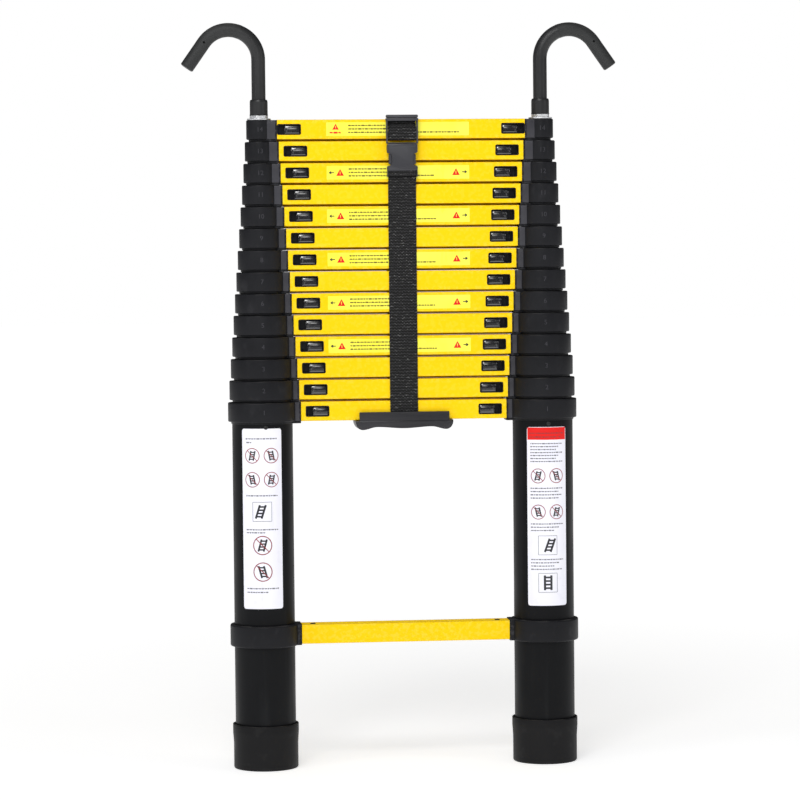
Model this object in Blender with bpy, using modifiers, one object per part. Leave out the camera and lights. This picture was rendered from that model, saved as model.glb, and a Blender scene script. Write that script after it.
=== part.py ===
"""Telescoping ladder, collapsed and strapped: two columns of nested tubes, fifteen rungs, two hooks.

Units are metres, +Z is up, -Y is the front and the ladder stands with its foot soles on Z = 0.
Column axes are at X = -COLUMN_X and +COLUMN_X. Section k is a pair of tubes, the collars on their
tops and the rung between those collars, which is rung k + 1; rung 1 is clamped to the outer tubes.
"""

import math

import bmesh
import bpy
from mathutils import Matrix, Vector

# Layout
COLUMN_X = 0.190
SECTIONS = 14
STACK_PITCH = 0.029
RUNG_1_Z = 0.180
RUNG_2_Z = 0.480
LATCHED_RUNGS = (2, 3)
SIDES = {"left": -1, "right": 1}
GAP = 0.0003
SLIP = 0.00033

# How far a joined block reaches into its neighbour, and a cutter past the face that it opens
BITE = 0.002
OVERCUT = 0.001
RUN_OUT = 0.01

# Tubes and collars, which shrink by a fixed step from each section to the next
TUBE_RADIUS = 0.0407
TUBE_STEP = 0.00215
TUBE_WALL = 0.00145
TUBE_LENGTH = 0.380
COLLAR_RADIUS = 0.0460
COLLAR_STEP = 0.00222
COLLAR_HALF = 0.0129
NECK_LIP = 0.0012
NECK_BOTTOM = 0.0158
ARM_REACH = 0.0510
ARM_STEP = 0.00215
ARM_TOP = 0.0127
ARM_BOTTOM = 0.0155
SPIGOT_LENGTH = 0.046
ROUND_SIDES = 16

# Rungs
RUNG_DEPTH = 0.030
RUNG_HEIGHT = 0.026
RUNG_WALL = 0.0016
RUNG_CORNER = 0.003
SPIGOT_Y = RUNG_DEPTH / 2 - RUNG_WALL - GAP
SPIGOT_Z = RUNG_HEIGHT / 2 - RUNG_WALL - GAP

# Thumb latches: a button in a window of the rung, and the lock pin that it carries
WINDOW_START = 0.006
WINDOW_LENGTH = 0.032
WINDOW_HALF = 0.00735
POCKET_BACK = 0.0045
BUTTON_LENGTH = 0.0215
PIN_RADIUS = 0.003
PIN_BORE = 0.0033
PIN_RETRACT = 0.0088
PIN_SIDES = 8

# Clamp brackets of rung 1
BRACKET_RADIUS = 0.0463
BRACKET_HALF = 0.0147
BRACKET_REACH = 0.049
BRACKET_SPIGOT = 0.030
BRACKET_ARM_Y = RUNG_DEPTH / 2 + 0.001
BRACKET_ARM_TRIM = 0.0002

# Feet
FOOT_RADIUS = 0.0444
FOOT_HEIGHT = 0.060
FOOT_FLOOR = 0.014
FOOT_CHAMFER = 0.003

# Hooks, their couplers and lock nuts
STUD_RADIUS = 0.006
STUD_BORE = 0.0064
STUD_DEPTH = 0.007
PLUG_THICKNESS = 0.009
NUT_HEIGHT = 0.0058
NUT_RADIUS = 0.0160
COUPLER_RADIUS = 0.01225
COUPLER_HEIGHT = 0.021
COUPLER_CHAMFER = 0.0015
HOOK_ROD = 0.0093
HOOK_SLEEVE = 0.0094
HOOK_STEM = 0.0533
HOOK_BEND = 0.0398
HOOK_SWEEP = math.radians(145)
SLEEVE_START = math.radians(75)
HOOK_TAIL = 0.041
HOOK_HOLE_RADIUS = 0.0016

# Strap
STRAP_WIDTH = 0.038
STRAP_THICKNESS = 0.0016
STRAP_TURN = 0.0026
STRAP_SPLIT_Z = 0.8485
STRAP_MIDDLE = RUNG_DEPTH / 2 + GAP + STRAP_THICKNESS / 2
STRAP_NECK = 0.006
STRAP_MEETS_RUNGS = 0.026

# Carry handle, clipped round the lowest stacked rung
PLATE_HALF = 0.0607
PLATE_TOP = 0.4779
HANDLE_WALL = 0.0202
HANDLE_SKIRT = 0.006
HANDLE_GROOVE_EASE = 0.0004
GRIP_HALF_DEPTH = 0.0215
GRIP_DROP = 0.0004
GRIP_END = 0.0660
GRIP_LOBE = 0.0570
GRIP_FINGER = 0.0365
GRIP_LOBE_DEPTH = 0.0120
GRIP_FINGER_DEPTH = 0.0085
GRIP_MIDDLE_DEPTH = 0.0105

# Side-release buckle
SOCKET_HALF = 0.02035
SOCKET_BOTTOM = 0.8008
SOCKET_TOP = 0.8367
SOCKET_BACK = -0.0172
SOCKET_FRONT = -0.0262
SOCKET_RAIL = 0.0010
SOCKET_RAIL_BOTTOM = 0.7925
SOCKET_RAIL_INSET = 0.0010
CAVITY_HALF = 0.0167
CAVITY_BOTTOM = 0.8060
CAVITY_BACK = -0.0192
CAVITY_FRONT = -0.0242
NOTCH_DEPTH = 0.0062
NOTCH_BOTTOM = 0.8068
NOTCH_TOP = 0.8247
PRONG_WIDTH = 0.0052
PRONG_BOTTOM = 0.8070
PLUG_HALF = 0.0219
PLUG_RAIL = 0.0022
RAIL_INSET = 0.0004
BAR_INSET = 0.0002
PLUG_TOP = 0.8755
PLUG_BAR_BOTTOM = 0.8674
CROSS_BAR_TOP = 0.8472
CROSS_BAR_BOTTOM = 0.8405
PLUG_BASE_BOTTOM = 0.8372
PLUG_BASE_TOP = 0.8390

BLACK_PAINT = ("black_painted_alloy", (0.018, 0.018, 0.020), 0.45, 0.0)
YELLOW_PAINT = ("yellow_painted_alloy", (0.90, 0.62, 0.02), 0.40, 0.0)
BLACK_NYLON = ("black_nylon", (0.030, 0.030, 0.034), 0.55, 0.0)
BLACK_RUBBER = ("black_rubber", (0.020, 0.020, 0.021), 0.80, 0.0)
BLACK_STEEL = ("black_coated_steel", (0.022, 0.023, 0.024), 0.50, 0.2)
ZINC_STEEL = ("zinc_plated_steel", (0.62, 0.63, 0.65), 0.30, 1.0)
WEBBING = ("black_webbing", (0.016, 0.016, 0.018), 0.90, 0.0)


def clear_scene():
    """Remove the objects that the start-up scene holds."""
    for old in list(bpy.data.objects):
        bpy.data.objects.remove(old, do_unlink=True)


def collection_named(name):
    """Return the scene's collection of this name, made at its first use."""
    found = bpy.data.collections.get(name)
    if found is None:
        found = bpy.data.collections.new(name)
        bpy.context.scene.collection.children.link(found)
    return found


def material_for(finish):
    """Return the Principled material of a finish, given as name, colour, roughness, metallic."""
    name, colour, roughness, metallic = finish
    material = bpy.data.materials.get(name)
    if material is None:
        material = bpy.data.materials.new(name)
        material.use_nodes = True
        shader = material.node_tree.nodes["Principled BSDF"]
        shader.inputs["Base Color"].default_value = (*colour, 1.0)
        shader.inputs["Roughness"].default_value = roughness
        shader.inputs["Metallic"].default_value = metallic
    return material


def finish_part(part, finish):
    """Give a part its material."""
    part.data.materials.clear()
    part.data.materials.append(material_for(finish))
    return part


def object_from(name, mesh):
    """Put a mesh into the ladder's collection as a named object."""
    part = bpy.data.objects.new(name, mesh)
    collection_named("telescoping_ladder").objects.link(part)
    return part


def box(name, low, high):
    """Make a box between two opposite corners."""
    low, high = Vector(low), Vector(high)
    size = Vector(abs(a - b) for a, b in zip(low, high))
    place = Matrix.Translation((low + high) / 2) @ Matrix.Diagonal((*size, 1.0))
    cage = bmesh.new()
    bmesh.ops.create_cube(cage, size=1.0, matrix=place)
    mesh = bpy.data.meshes.new(name)
    cage.to_mesh(mesh)
    cage.free()
    return object_from(name, mesh)


def rod(name, start, end, radius, sides=ROUND_SIDES):
    """Make a solid round or many-sided bar between two points."""
    start, end = Vector(start), Vector(end)
    along = end - start
    turn = along.to_track_quat("Z", "Y").to_matrix().to_4x4()
    cage = bmesh.new()
    bmesh.ops.create_cone(
        cage,
        cap_ends=True,
        segments=sides,
        radius1=radius,
        radius2=radius,
        depth=along.length,
        matrix=Matrix.Translation((start + end) / 2) @ turn,
    )
    mesh = bpy.data.meshes.new(name)
    cage.to_mesh(mesh)
    cage.free()
    return object_from(name, mesh)


def turned(name, profile, place, sides=ROUND_SIDES):
    """Spin a profile of (radius, height) points, listed from top to bottom, about local Z."""
    mesh = bpy.data.meshes.new(name)
    points = [(radius, 0.0, height) for radius, height in profile]
    closed = profile[0][0] > 0.0
    edges = [(i, i + 1) for i in range(len(points) - 1)]
    if closed:
        edges.append((len(points) - 1, 0))
    mesh.from_pydata(points, edges, [])
    part = object_from(name, mesh)
    part.location = place
    screw = part.modifiers.new("turn", "SCREW")
    screw.steps = sides
    screw.render_steps = sides
    screw.use_merge_vertices = True
    screw.merge_threshold = 0.00005
    screw.use_smooth_shade = False
    return part


def mesh_from_curve(name, curve, place):
    """Turn a curve into a mesh object with its place written into the mesh."""
    holder = bpy.data.objects.new(name + "_curve", curve)
    collection_named("telescoping_ladder").objects.link(holder)
    holder.matrix_world = place
    bpy.context.view_layer.update()
    seen = holder.evaluated_get(bpy.context.evaluated_depsgraph_get())
    mesh = bpy.data.meshes.new_from_object(seen)
    mesh.transform(place)
    cage = bmesh.new()
    cage.from_mesh(mesh)
    bmesh.ops.remove_doubles(cage, verts=cage.verts, dist=0.00002)
    cage.to_mesh(mesh)
    cage.free()
    bpy.data.objects.remove(holder)
    return object_from(name, mesh)


def flat_bar(name, outlines, length, place):
    """Extrude closed flat outlines by a length along local Z; an inner outline is a hole."""
    curve = bpy.data.curves.new(name, "CURVE")
    curve.dimensions = "2D"
    curve.fill_mode = "BOTH"
    curve.extrude = length / 2
    for outline in outlines:
        spline = curve.splines.new("POLY")
        spline.points.add(len(outline) - 1)
        for point, (across, up) in zip(spline.points, outline):
            point.co = (across, up, 0.0, 1.0)
        spline.use_cyclic_u = True
    return mesh_from_curve(name, curve, place)


def rounded_rectangle(width, height, radius, steps=2):
    """Return the outline of a rectangle with rounded corners, or sharp ones if radius is 0."""
    if not radius:
        return [(a * width / 2, b * height / 2) for a, b in ((1, 1), (-1, 1), (-1, -1), (1, -1))]
    outline = []
    for quarter, (a, b) in enumerate(((1, 1), (-1, 1), (-1, -1), (1, -1))):
        for step in range(steps + 1):
            angle = math.pi / 2 * (quarter + step / steps)
            across = a * (width / 2 - radius) + radius * math.cos(angle)
            up = b * (height / 2 - radius) + radius * math.sin(angle)
            outline.append((across, up))
    return outline


def combine(part, tool, operation):
    """Add, cut or intersect a part with a helper solid, which is then kept out of the renders."""
    step = part.modifiers.new(operation.lower(), "BOOLEAN")
    step.operation = operation
    step.solver = "EXACT"
    step.object = tool
    tool.hide_render = True
    tool.display_type = "WIRE"
    for owner in list(tool.users_collection):
        owner.objects.unlink(tool)
    collection_named("cutters").objects.link(tool)


def tube_radius(section):
    """Outer radius of a section's tubes."""
    return TUBE_RADIUS - TUBE_STEP * (section - 1)


def bore_radius(section):
    """Inner radius of a section's tubes and collars."""
    return tube_radius(section) - TUBE_WALL


def collar_radius(section):
    """Outer radius of a section's collars."""
    return COLLAR_RADIUS - COLLAR_STEP * (section - 1)


def arm_reach(section):
    """Distance from a column's axis to the end of the section's rung."""
    return ARM_REACH - ARM_STEP * (section - 1)


def collar_height(section):
    """Height of the middle of a section's collars and of its rung."""
    return RUNG_2_Z + STACK_PITCH * (section - 1)


def window_start(section):
    """Distance from a column's axis to the near end of the section's latch window."""
    margin = 0.0 if section == SECTIONS else WINDOW_START
    return arm_reach(section) + margin


def across(side, distance):
    """X of a point that lies a distance inboard of the axis of a side's column."""
    return SIDES[side] * (COLUMN_X - distance)


def build_stile(section, side):
    """Tube with its moulded collar, the arm into the rung, the latch pocket and the pin bore."""
    name = f"stile_{section:02d}_{side}"
    middle = collar_height(section)
    top = middle + COLLAR_HALF
    bottom = FOOT_FLOOR + GAP if section == 1 else top - TUBE_LENGTH
    ring, tube = collar_radius(section), tube_radius(section)
    profile = (
        (0.0, top), (ring, top), (ring, middle - COLLAR_HALF), (tube + NECK_LIP, middle - COLLAR_HALF),
        (tube + NECK_LIP, middle - NECK_BOTTOM), (tube, middle - NECK_BOTTOM), (tube, bottom), (0.0, bottom),
    )
    axis = across(side, 0.0)
    part = turned(name, profile, (axis, 0.0, 0.0))
    reach = arm_reach(section)
    arm = box(
        name + "_arm",
        (across(side, 0.0), -RUNG_DEPTH / 2, middle - ARM_BOTTOM),
        (across(side, reach), RUNG_DEPTH / 2, middle + ARM_TOP),
    )
    combine(part, arm, "UNION")
    spigot = box(
        name + "_spigot",
        (across(side, reach - BITE), -SPIGOT_Y, middle - SPIGOT_Z),
        (across(side, reach + SPIGOT_LENGTH), SPIGOT_Y, middle + SPIGOT_Z),
    )
    combine(part, spigot, "UNION")
    roof = top - PLUG_THICKNESS if section == SECTIONS else top + RUN_OUT
    bore = rod(name + "_bore", (axis, 0.0, bottom - RUN_OUT), (axis, 0.0, roof), bore_radius(section))
    combine(part, bore, "DIFFERENCE")
    start = window_start(section)
    pocket = box(
        name + "_pocket",
        (across(side, start), -RUNG_DEPTH / 2 - OVERCUT, middle - WINDOW_HALF),
        (across(side, start + WINDOW_LENGTH), POCKET_BACK, middle + WINDOW_HALF),
    )
    combine(part, pocket, "DIFFERENCE")
    pin_end = (across(side, start + OVERCUT), 0.0, middle)
    pin_bore = rod(name + "_pin_bore", (axis, 0.0, middle), pin_end, PIN_BORE, PIN_SIDES)
    if section < SECTIONS:
        combine(part, pin_bore, "DIFFERENCE")
    else:
        bpy.data.objects.remove(pin_bore)
        low, high = (axis, 0.0, roof - RUN_OUT), (axis, 0.0, top + RUN_OUT)
        stud_bore = rod(name + "_stud_bore", low, high, STUD_BORE)
        combine(part, stud_bore, "DIFFERENCE")
    return finish_part(part, BLACK_PAINT)


def build_rung(number):
    """Hollow box-section rung, with a latch window near each end of its front on all but rung 1."""
    name = f"rung_{number:02d}"
    section = number - 1
    reach = BRACKET_REACH if number == 1 else arm_reach(section)
    height = RUNG_1_Z if number == 1 else collar_height(section)
    outer = rounded_rectangle(RUNG_HEIGHT, RUNG_DEPTH, RUNG_CORNER)
    inner = rounded_rectangle(RUNG_HEIGHT - 2 * RUNG_WALL, RUNG_DEPTH - 2 * RUNG_WALL, 0.0)
    place = Matrix.Translation((0.0, 0.0, height)) @ Matrix.Rotation(math.pi / 2, 4, "Y")
    part = flat_bar(name, (outer, inner), 2 * (COLUMN_X - reach - GAP), place)
    if number > 1:
        for side in SIDES:
            start = window_start(section)
            margin = OVERCUT if section == SECTIONS else 0.0
            window = box(
                f"{name}_window_{side}",
                (across(side, start - margin), -RUNG_DEPTH / 2 - OVERCUT, height - WINDOW_HALF),
                (across(side, start + WINDOW_LENGTH), -RUNG_DEPTH / 2 + RUNG_CORNER, height + WINDOW_HALF),
            )
            combine(part, window, "DIFFERENCE")
    return finish_part(part, YELLOW_PAINT)


def build_latch(number, side):
    """Thumb button of a rung with its lock pin, drawn back from the tube as in the closed ladder."""
    name = f"latch_{number:02d}_{side}"
    section = number - 1
    height = collar_height(section)
    button_end = window_start(section) + WINDOW_LENGTH - GAP
    button_start = button_end - BUTTON_LENGTH
    part = box(
        name,
        (across(side, button_start), -RUNG_DEPTH / 2, height - WINDOW_HALF + GAP),
        (across(side, button_end), POCKET_BACK - GAP, height + WINDOW_HALF - GAP),
    )
    tip = bore_radius(section) + PIN_RETRACT
    pin = rod(
        name + "_pin",
        (across(side, tip), 0.0, height),
        (across(side, button_start + BITE), 0.0, height),
        PIN_RADIUS,
        PIN_SIDES,
    )
    combine(part, pin, "UNION")
    return finish_part(part, BLACK_NYLON)


def build_bracket(side):
    """Clamp ring round the outer tube with the arm and spigot that carry rung 1."""
    name = f"bottom_bracket_{side}"
    axis = across(side, 0.0)
    low, high = RUNG_1_Z - BRACKET_HALF, RUNG_1_Z + BRACKET_HALF
    part = rod(name, (axis, 0.0, low), (axis, 0.0, high), BRACKET_RADIUS)
    arm = box(
        name + "_arm",
        (axis, -BRACKET_ARM_Y, low + BRACKET_ARM_TRIM),
        (across(side, BRACKET_REACH), BRACKET_ARM_Y, high - BRACKET_ARM_TRIM),
    )
    combine(part, arm, "UNION")
    spigot = box(
        name + "_spigot",
        (across(side, BRACKET_REACH - BITE), -SPIGOT_Y, RUNG_1_Z - SPIGOT_Z),
        (across(side, BRACKET_REACH + BRACKET_SPIGOT), SPIGOT_Y, RUNG_1_Z + SPIGOT_Z),
    )
    combine(part, spigot, "UNION")
    bore = rod(
        name + "_bore",
        (axis, 0.0, low - RUN_OUT),
        (axis, 0.0, high + RUN_OUT),
        TUBE_RADIUS + SLIP,
    )
    combine(part, bore, "DIFFERENCE")
    return finish_part(part, BLACK_NYLON)


def build_foot(side):
    """Rubber cup on the end of an outer tube, with a flat sole."""
    socket = TUBE_RADIUS + SLIP
    profile = (
        (0.0, FOOT_FLOOR), (socket, FOOT_FLOOR), (socket, FOOT_HEIGHT), (FOOT_RADIUS, FOOT_HEIGHT),
        (FOOT_RADIUS, FOOT_CHAMFER), (FOOT_RADIUS - FOOT_CHAMFER, 0.0), (0.0, 0.0),
    )
    part = turned(f"foot_{side}", profile, (across(side, 0.0), 0.0, 0.0))
    return finish_part(part, BLACK_RUBBER)


def hook_route(outboard):
    """Points and relative radii of a hook's rod: stem, bend and tail, seen from its coupler's top."""
    route = [(0.0, -OVERCUT, 1.0), (0.0, HOOK_STEM, 1.0)]
    bend_steps = 12
    sleeve = HOOK_SLEEVE / HOOK_ROD
    angles = [HOOK_SWEEP * step / bend_steps for step in range(1, bend_steps + 1)]
    for angle in angles:
        radius = sleeve if angle > SLEEVE_START else 1.0
        out = HOOK_BEND * (1.0 - math.cos(angle))
        route.append((out, HOOK_STEM + HOOK_BEND * math.sin(angle), radius))
    out, up, radius = route[-1]
    tail_out = out + HOOK_TAIL * math.sin(HOOK_SWEEP)
    tail_up = up + HOOK_TAIL * math.cos(HOOK_SWEEP)
    route.append((tail_out, tail_up, radius))
    return [(outboard * out, up, radius) for out, up, radius in route]


def build_hook(side):
    """Bent steel hook with its sleeve, the coupler under it and the stud through the lock nut."""
    name = f"hook_{side}"
    axis = across(side, 0.0)
    base = collar_height(SECTIONS) + COLLAR_HALF + GAP + NUT_HEIGHT + GAP
    coupler_top = base + COUPLER_HEIGHT
    stud_end = base - NUT_HEIGHT - STUD_DEPTH
    curve = bpy.data.curves.new(name, "CURVE")
    curve.dimensions = "3D"
    curve.bevel_depth = HOOK_ROD
    curve.bevel_resolution = 4
    curve.use_fill_caps = True
    spline = curve.splines.new("POLY")
    route = hook_route(SIDES[side])
    spline.points.add(len(route) - 1)
    for point, (out, up, radius) in zip(spline.points, route):
        point.co = (axis + out, 0.0, coupler_top + up, 1.0)
        point.radius = radius
    part = mesh_from_curve(name, curve, Matrix.Identity(4))
    coupler = turned(
        name + "_coupler",
        (
            (0.0, coupler_top), (COUPLER_RADIUS - COUPLER_CHAMFER, coupler_top),
            (COUPLER_RADIUS, coupler_top - COUPLER_CHAMFER), (COUPLER_RADIUS, base),
            (STUD_RADIUS, base), (STUD_RADIUS, stud_end), (0.0, stud_end),
        ),
        (axis, 0.0, 0.0),
    )
    combine(part, coupler, "UNION")
    bend_end = hook_route(SIDES[side])[-2]
    hole_x, hole_z = axis + bend_end[0], coupler_top + bend_end[1]
    hole = rod(name + "_hole", (hole_x, -RUN_OUT, hole_z), (hole_x, 0.0, hole_z), HOOK_HOLE_RADIUS, 8)
    combine(part, hole, "DIFFERENCE")
    return finish_part(part, BLACK_STEEL)


def build_hook_nut(side):
    """Hexagonal lock nut between a top collar and a hook's coupler."""
    name = f"hook_nut_{side}"
    axis = across(side, 0.0)
    base = collar_height(SECTIONS) + COLLAR_HALF + GAP
    part = rod(name, (axis, 0.0, base), (axis, 0.0, base + NUT_HEIGHT), NUT_RADIUS, 6)
    low, high = (axis, 0.0, base - RUN_OUT), (axis, 0.0, base + NUT_HEIGHT + RUN_OUT)
    hole = rod(name + "_hole", low, high, STUD_BORE)
    combine(part, hole, "DIFFERENCE")
    return finish_part(part, ZINC_STEEL)


def quarter_turn(centre_y, centre_z, start, steps=4):
    """Points of a quarter circle of the strap's turn radius, from a start angle onwards."""
    angles = [start + math.pi / 2 * step / steps for step in range(steps + 1)]
    return [(centre_y + STRAP_TURN * math.cos(a), centre_z + STRAP_TURN * math.sin(a)) for a in angles]


def build_band(name, route):
    """Flat webbing that follows a route of (y, z) points, as an extruded curve made solid."""
    curve = bpy.data.curves.new(name, "CURVE")
    curve.dimensions = "3D"
    curve.extrude = STRAP_WIDTH / 2
    spline = curve.splines.new("POLY")
    spline.points.add(len(route) - 1)
    for point, (y, z) in zip(spline.points, route):
        point.co = (y, z, 0.0, 1.0)
    stand_up = Matrix(((0, 0, 1, 0), (1, 0, 0, 0), (0, 1, 0, 0), (0, 0, 0, 1)))
    part = mesh_from_curve(name, curve, stand_up)
    solid = part.modifiers.new("thickness", "SOLIDIFY")
    solid.thickness = STRAP_THICKNESS
    solid.offset = 0.0
    return finish_part(part, WEBBING)


def build_strap_lower():
    """Webbing from the buckle socket down the front, through the handle and up the back."""
    below = RUNG_2_Z - RUNG_HEIGHT / 2 - GAP - STRAP_THICKNESS / 2
    inset = STRAP_MIDDLE - STRAP_TURN
    socket_middle = (SOCKET_BACK + SOCKET_FRONT) / 2
    route = [(socket_middle, SOCKET_BOTTOM - GAP), (socket_middle, SOCKET_BOTTOM - STRAP_NECK)]
    route.append((-STRAP_MIDDLE, SOCKET_BOTTOM - STRAP_MEETS_RUNGS))
    route += quarter_turn(-inset, below + STRAP_TURN, math.pi)
    route += quarter_turn(inset, below + STRAP_TURN, 1.5 * math.pi)
    route.append((STRAP_MIDDLE, STRAP_SPLIT_Z - GAP))
    return build_band("strap_lower", route)


def build_strap_upper():
    """Webbing from the back, over the top rung and down to the plug of the buckle."""
    above = collar_height(SECTIONS) + RUNG_HEIGHT / 2 + GAP + STRAP_THICKNESS / 2
    inset = STRAP_MIDDLE - STRAP_TURN
    route = [(STRAP_MIDDLE, STRAP_SPLIT_Z + GAP)]
    route += quarter_turn(inset, above - STRAP_TURN, 0.0)
    route += quarter_turn(-inset, above - STRAP_TURN, math.pi / 2)
    route.append((-STRAP_MIDDLE, CROSS_BAR_BOTTOM))
    return build_band("strap_upper", route)


def eased(low, high, share):
    """Value on a smooth rise from low to high."""
    return low + (high - low) * (1.0 - math.cos(math.pi * share)) / 2


def grip_outline():
    """Front outline of the grip: a flat top, rounded ends and a waved underside for the fingers."""
    half = [(0.0, GRIP_MIDDLE_DEPTH)]
    for step in range(1, 5):
        share = step / 4
        half.append((GRIP_FINGER * share, eased(GRIP_MIDDLE_DEPTH, GRIP_FINGER_DEPTH, share)))
    for step in range(1, 5):
        share = step / 4
        along = GRIP_FINGER + (GRIP_LOBE - GRIP_FINGER) * share
        half.append((along, eased(GRIP_FINGER_DEPTH, GRIP_LOBE_DEPTH, share)))
    for step in range(1, 6):
        angle = math.pi / 2 * step / 5
        along = GRIP_LOBE + (GRIP_END - GRIP_LOBE) * math.sin(angle)
        half.append((along, GRIP_LOBE_DEPTH * math.cos(angle)))
    right = [(along, -depth) for along, depth in half]
    left = [(-along, -depth) for along, depth in reversed(half[1:])]
    return left + right


def build_handle():
    """Moulded carry handle: a channel round the lowest stacked rung over a waved grip."""
    under = RUNG_2_Z - RUNG_HEIGHT / 2 - GAP
    stand_up = Matrix.Translation((0.0, 0.0, under - GRIP_DROP)) @ Matrix.Rotation(math.pi / 2, 4, "X")
    part = flat_bar("carry_handle", (grip_outline(),), 2 * GRIP_HALF_DEPTH, stand_up)
    plate_low = (-PLATE_HALF, -HANDLE_WALL, under - HANDLE_SKIRT)
    body = box("handle_plate", plate_low, (PLATE_HALF, HANDLE_WALL, PLATE_TOP))
    combine(part, body, "UNION")
    channel_half = RUNG_DEPTH / 2 + GAP
    channel_end = PLATE_HALF + RUN_OUT
    channel_high = (channel_end, channel_half, PLATE_TOP + RUN_OUT)
    channel = box("handle_channel", (-channel_end, -channel_half, under), channel_high)
    combine(part, channel, "DIFFERENCE")
    groove_half = STRAP_WIDTH / 2 + HANDLE_GROOVE_EASE
    groove_side = channel_half + STRAP_THICKNESS + GAP
    groove = box(
        "handle_groove",
        (-groove_half, -groove_side, under - STRAP_THICKNESS - GAP),
        (groove_half, groove_side, PLATE_TOP + RUN_OUT),
    )
    combine(part, groove, "DIFFERENCE")
    return finish_part(part, BLACK_NYLON)


def build_buckle_socket():
    """Socket half of the buckle: open at the top, a notch in each side, rails beside the webbing's loop."""
    part = box(
        "buckle_socket",
        (-SOCKET_HALF, SOCKET_FRONT, SOCKET_BOTTOM),
        (SOCKET_HALF, SOCKET_BACK, SOCKET_TOP),
    )
    cavity = box(
        "socket_cavity",
        (-CAVITY_HALF, CAVITY_FRONT, CAVITY_BOTTOM),
        (CAVITY_HALF, CAVITY_BACK, SOCKET_TOP + RUN_OUT),
    )
    combine(part, cavity, "DIFFERENCE")
    rail_out = SOCKET_HALF - BAR_INSET
    for side, sign in SIDES.items():
        notch = box(
            f"socket_notch_{side}",
            (sign * (SOCKET_HALF - NOTCH_DEPTH), SOCKET_FRONT - OVERCUT, NOTCH_BOTTOM),
            (sign * (SOCKET_HALF + RUN_OUT), SOCKET_BACK + OVERCUT, NOTCH_TOP),
        )
        combine(part, notch, "DIFFERENCE")
        rail = box(
            f"socket_rail_{side}",
            (sign * rail_out, SOCKET_FRONT + SOCKET_RAIL_INSET, SOCKET_RAIL_BOTTOM),
            (sign * (rail_out - SOCKET_RAIL), SOCKET_BACK - SOCKET_RAIL_INSET, SOCKET_BOTTOM + BITE),
        )
        combine(part, rail, "UNION")
    return finish_part(part, BLACK_NYLON)


def build_buckle_plug():
    """Plug half of the buckle: a strap frame with a cross bar, and two prongs in the socket."""
    front, back = CAVITY_FRONT + GAP, CAVITY_BACK - GAP
    part = box("buckle_plug", (-PLUG_HALF, SOCKET_FRONT, PLUG_BAR_BOTTOM), (PLUG_HALF, SOCKET_BACK, PLUG_TOP))
    rail_out = PLUG_HALF - RAIL_INSET
    for side, sign in SIDES.items():
        rail = box(
            f"plug_rail_{side}",
            (sign * rail_out, front, PLUG_BASE_BOTTOM),
            (sign * (rail_out - PLUG_RAIL), back, PLUG_BAR_BOTTOM + BITE),
        )
        combine(part, rail, "UNION")
        prong_out = CAVITY_HALF - GAP
        prong = box(
            f"plug_prong_{side}",
            (sign * prong_out, front + GAP, PRONG_BOTTOM),
            (sign * (prong_out - PRONG_WIDTH), back - GAP, PLUG_BASE_BOTTOM + OVERCUT),
        )
        combine(part, prong, "UNION")
    for name, low, high in (
        ("plug_cross_bar", CROSS_BAR_BOTTOM, CROSS_BAR_TOP),
        ("plug_base", PLUG_BASE_BOTTOM, PLUG_BASE_TOP),
    ):
        reach = rail_out - OVERCUT
        bar = box(name, (-reach, front + BAR_INSET, low), (reach, back - BAR_INSET, high))
        combine(part, bar, "UNION")
    return finish_part(part, BLACK_NYLON)


def build_ladder():
    """Make every part of the ladder in its closed, strapped state."""
    build_rung(1)
    for side in SIDES:
        build_foot(side)
        build_bracket(side)
        build_hook_nut(side)
        build_hook(side)
    for section in range(1, SECTIONS + 1):
        build_rung(section + 1)
        for side in SIDES:
            build_stile(section, side)
    for number in LATCHED_RUNGS:
        for side in SIDES:
            build_latch(number, side)
    build_handle()
    build_strap_lower()
    build_strap_upper()
    build_buckle_socket()
    build_buckle_plug()


clear_scene()
build_ladder()
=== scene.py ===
"""Looks of a closed telescoping ladder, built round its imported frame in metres, +Z up, front at -Y."""
import logging
import math
from collections.abc import Callable, Iterable, Sequence
from dataclasses import dataclass, field
from enum import Enum

import bmesh
import bpy
from mathutils import Matrix, Vector


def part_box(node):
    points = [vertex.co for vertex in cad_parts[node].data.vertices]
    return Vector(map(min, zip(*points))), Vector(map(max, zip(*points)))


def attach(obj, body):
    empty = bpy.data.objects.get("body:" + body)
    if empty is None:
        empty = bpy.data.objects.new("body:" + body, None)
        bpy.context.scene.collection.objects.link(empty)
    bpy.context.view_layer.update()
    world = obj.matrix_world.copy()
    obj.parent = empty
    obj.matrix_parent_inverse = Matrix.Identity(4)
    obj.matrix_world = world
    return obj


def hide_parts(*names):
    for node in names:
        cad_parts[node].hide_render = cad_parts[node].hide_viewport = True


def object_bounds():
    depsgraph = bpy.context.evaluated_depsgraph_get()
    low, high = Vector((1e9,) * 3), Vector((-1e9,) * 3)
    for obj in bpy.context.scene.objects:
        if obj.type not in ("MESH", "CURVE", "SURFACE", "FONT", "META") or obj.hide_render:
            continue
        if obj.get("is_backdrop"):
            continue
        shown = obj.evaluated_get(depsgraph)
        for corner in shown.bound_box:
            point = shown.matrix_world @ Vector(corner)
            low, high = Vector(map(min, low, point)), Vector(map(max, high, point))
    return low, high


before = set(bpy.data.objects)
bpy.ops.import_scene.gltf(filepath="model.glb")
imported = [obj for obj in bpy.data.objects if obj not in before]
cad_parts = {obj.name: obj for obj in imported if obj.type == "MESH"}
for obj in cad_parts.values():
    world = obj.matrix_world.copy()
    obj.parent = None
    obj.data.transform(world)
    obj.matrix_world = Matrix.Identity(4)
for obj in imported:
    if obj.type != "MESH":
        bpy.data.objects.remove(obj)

CAD_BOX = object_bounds()
LOG = logging.getLogger("telescoping_ladder")
Flat = tuple[float, float]
Corner = tuple[float, float, float]


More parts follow.
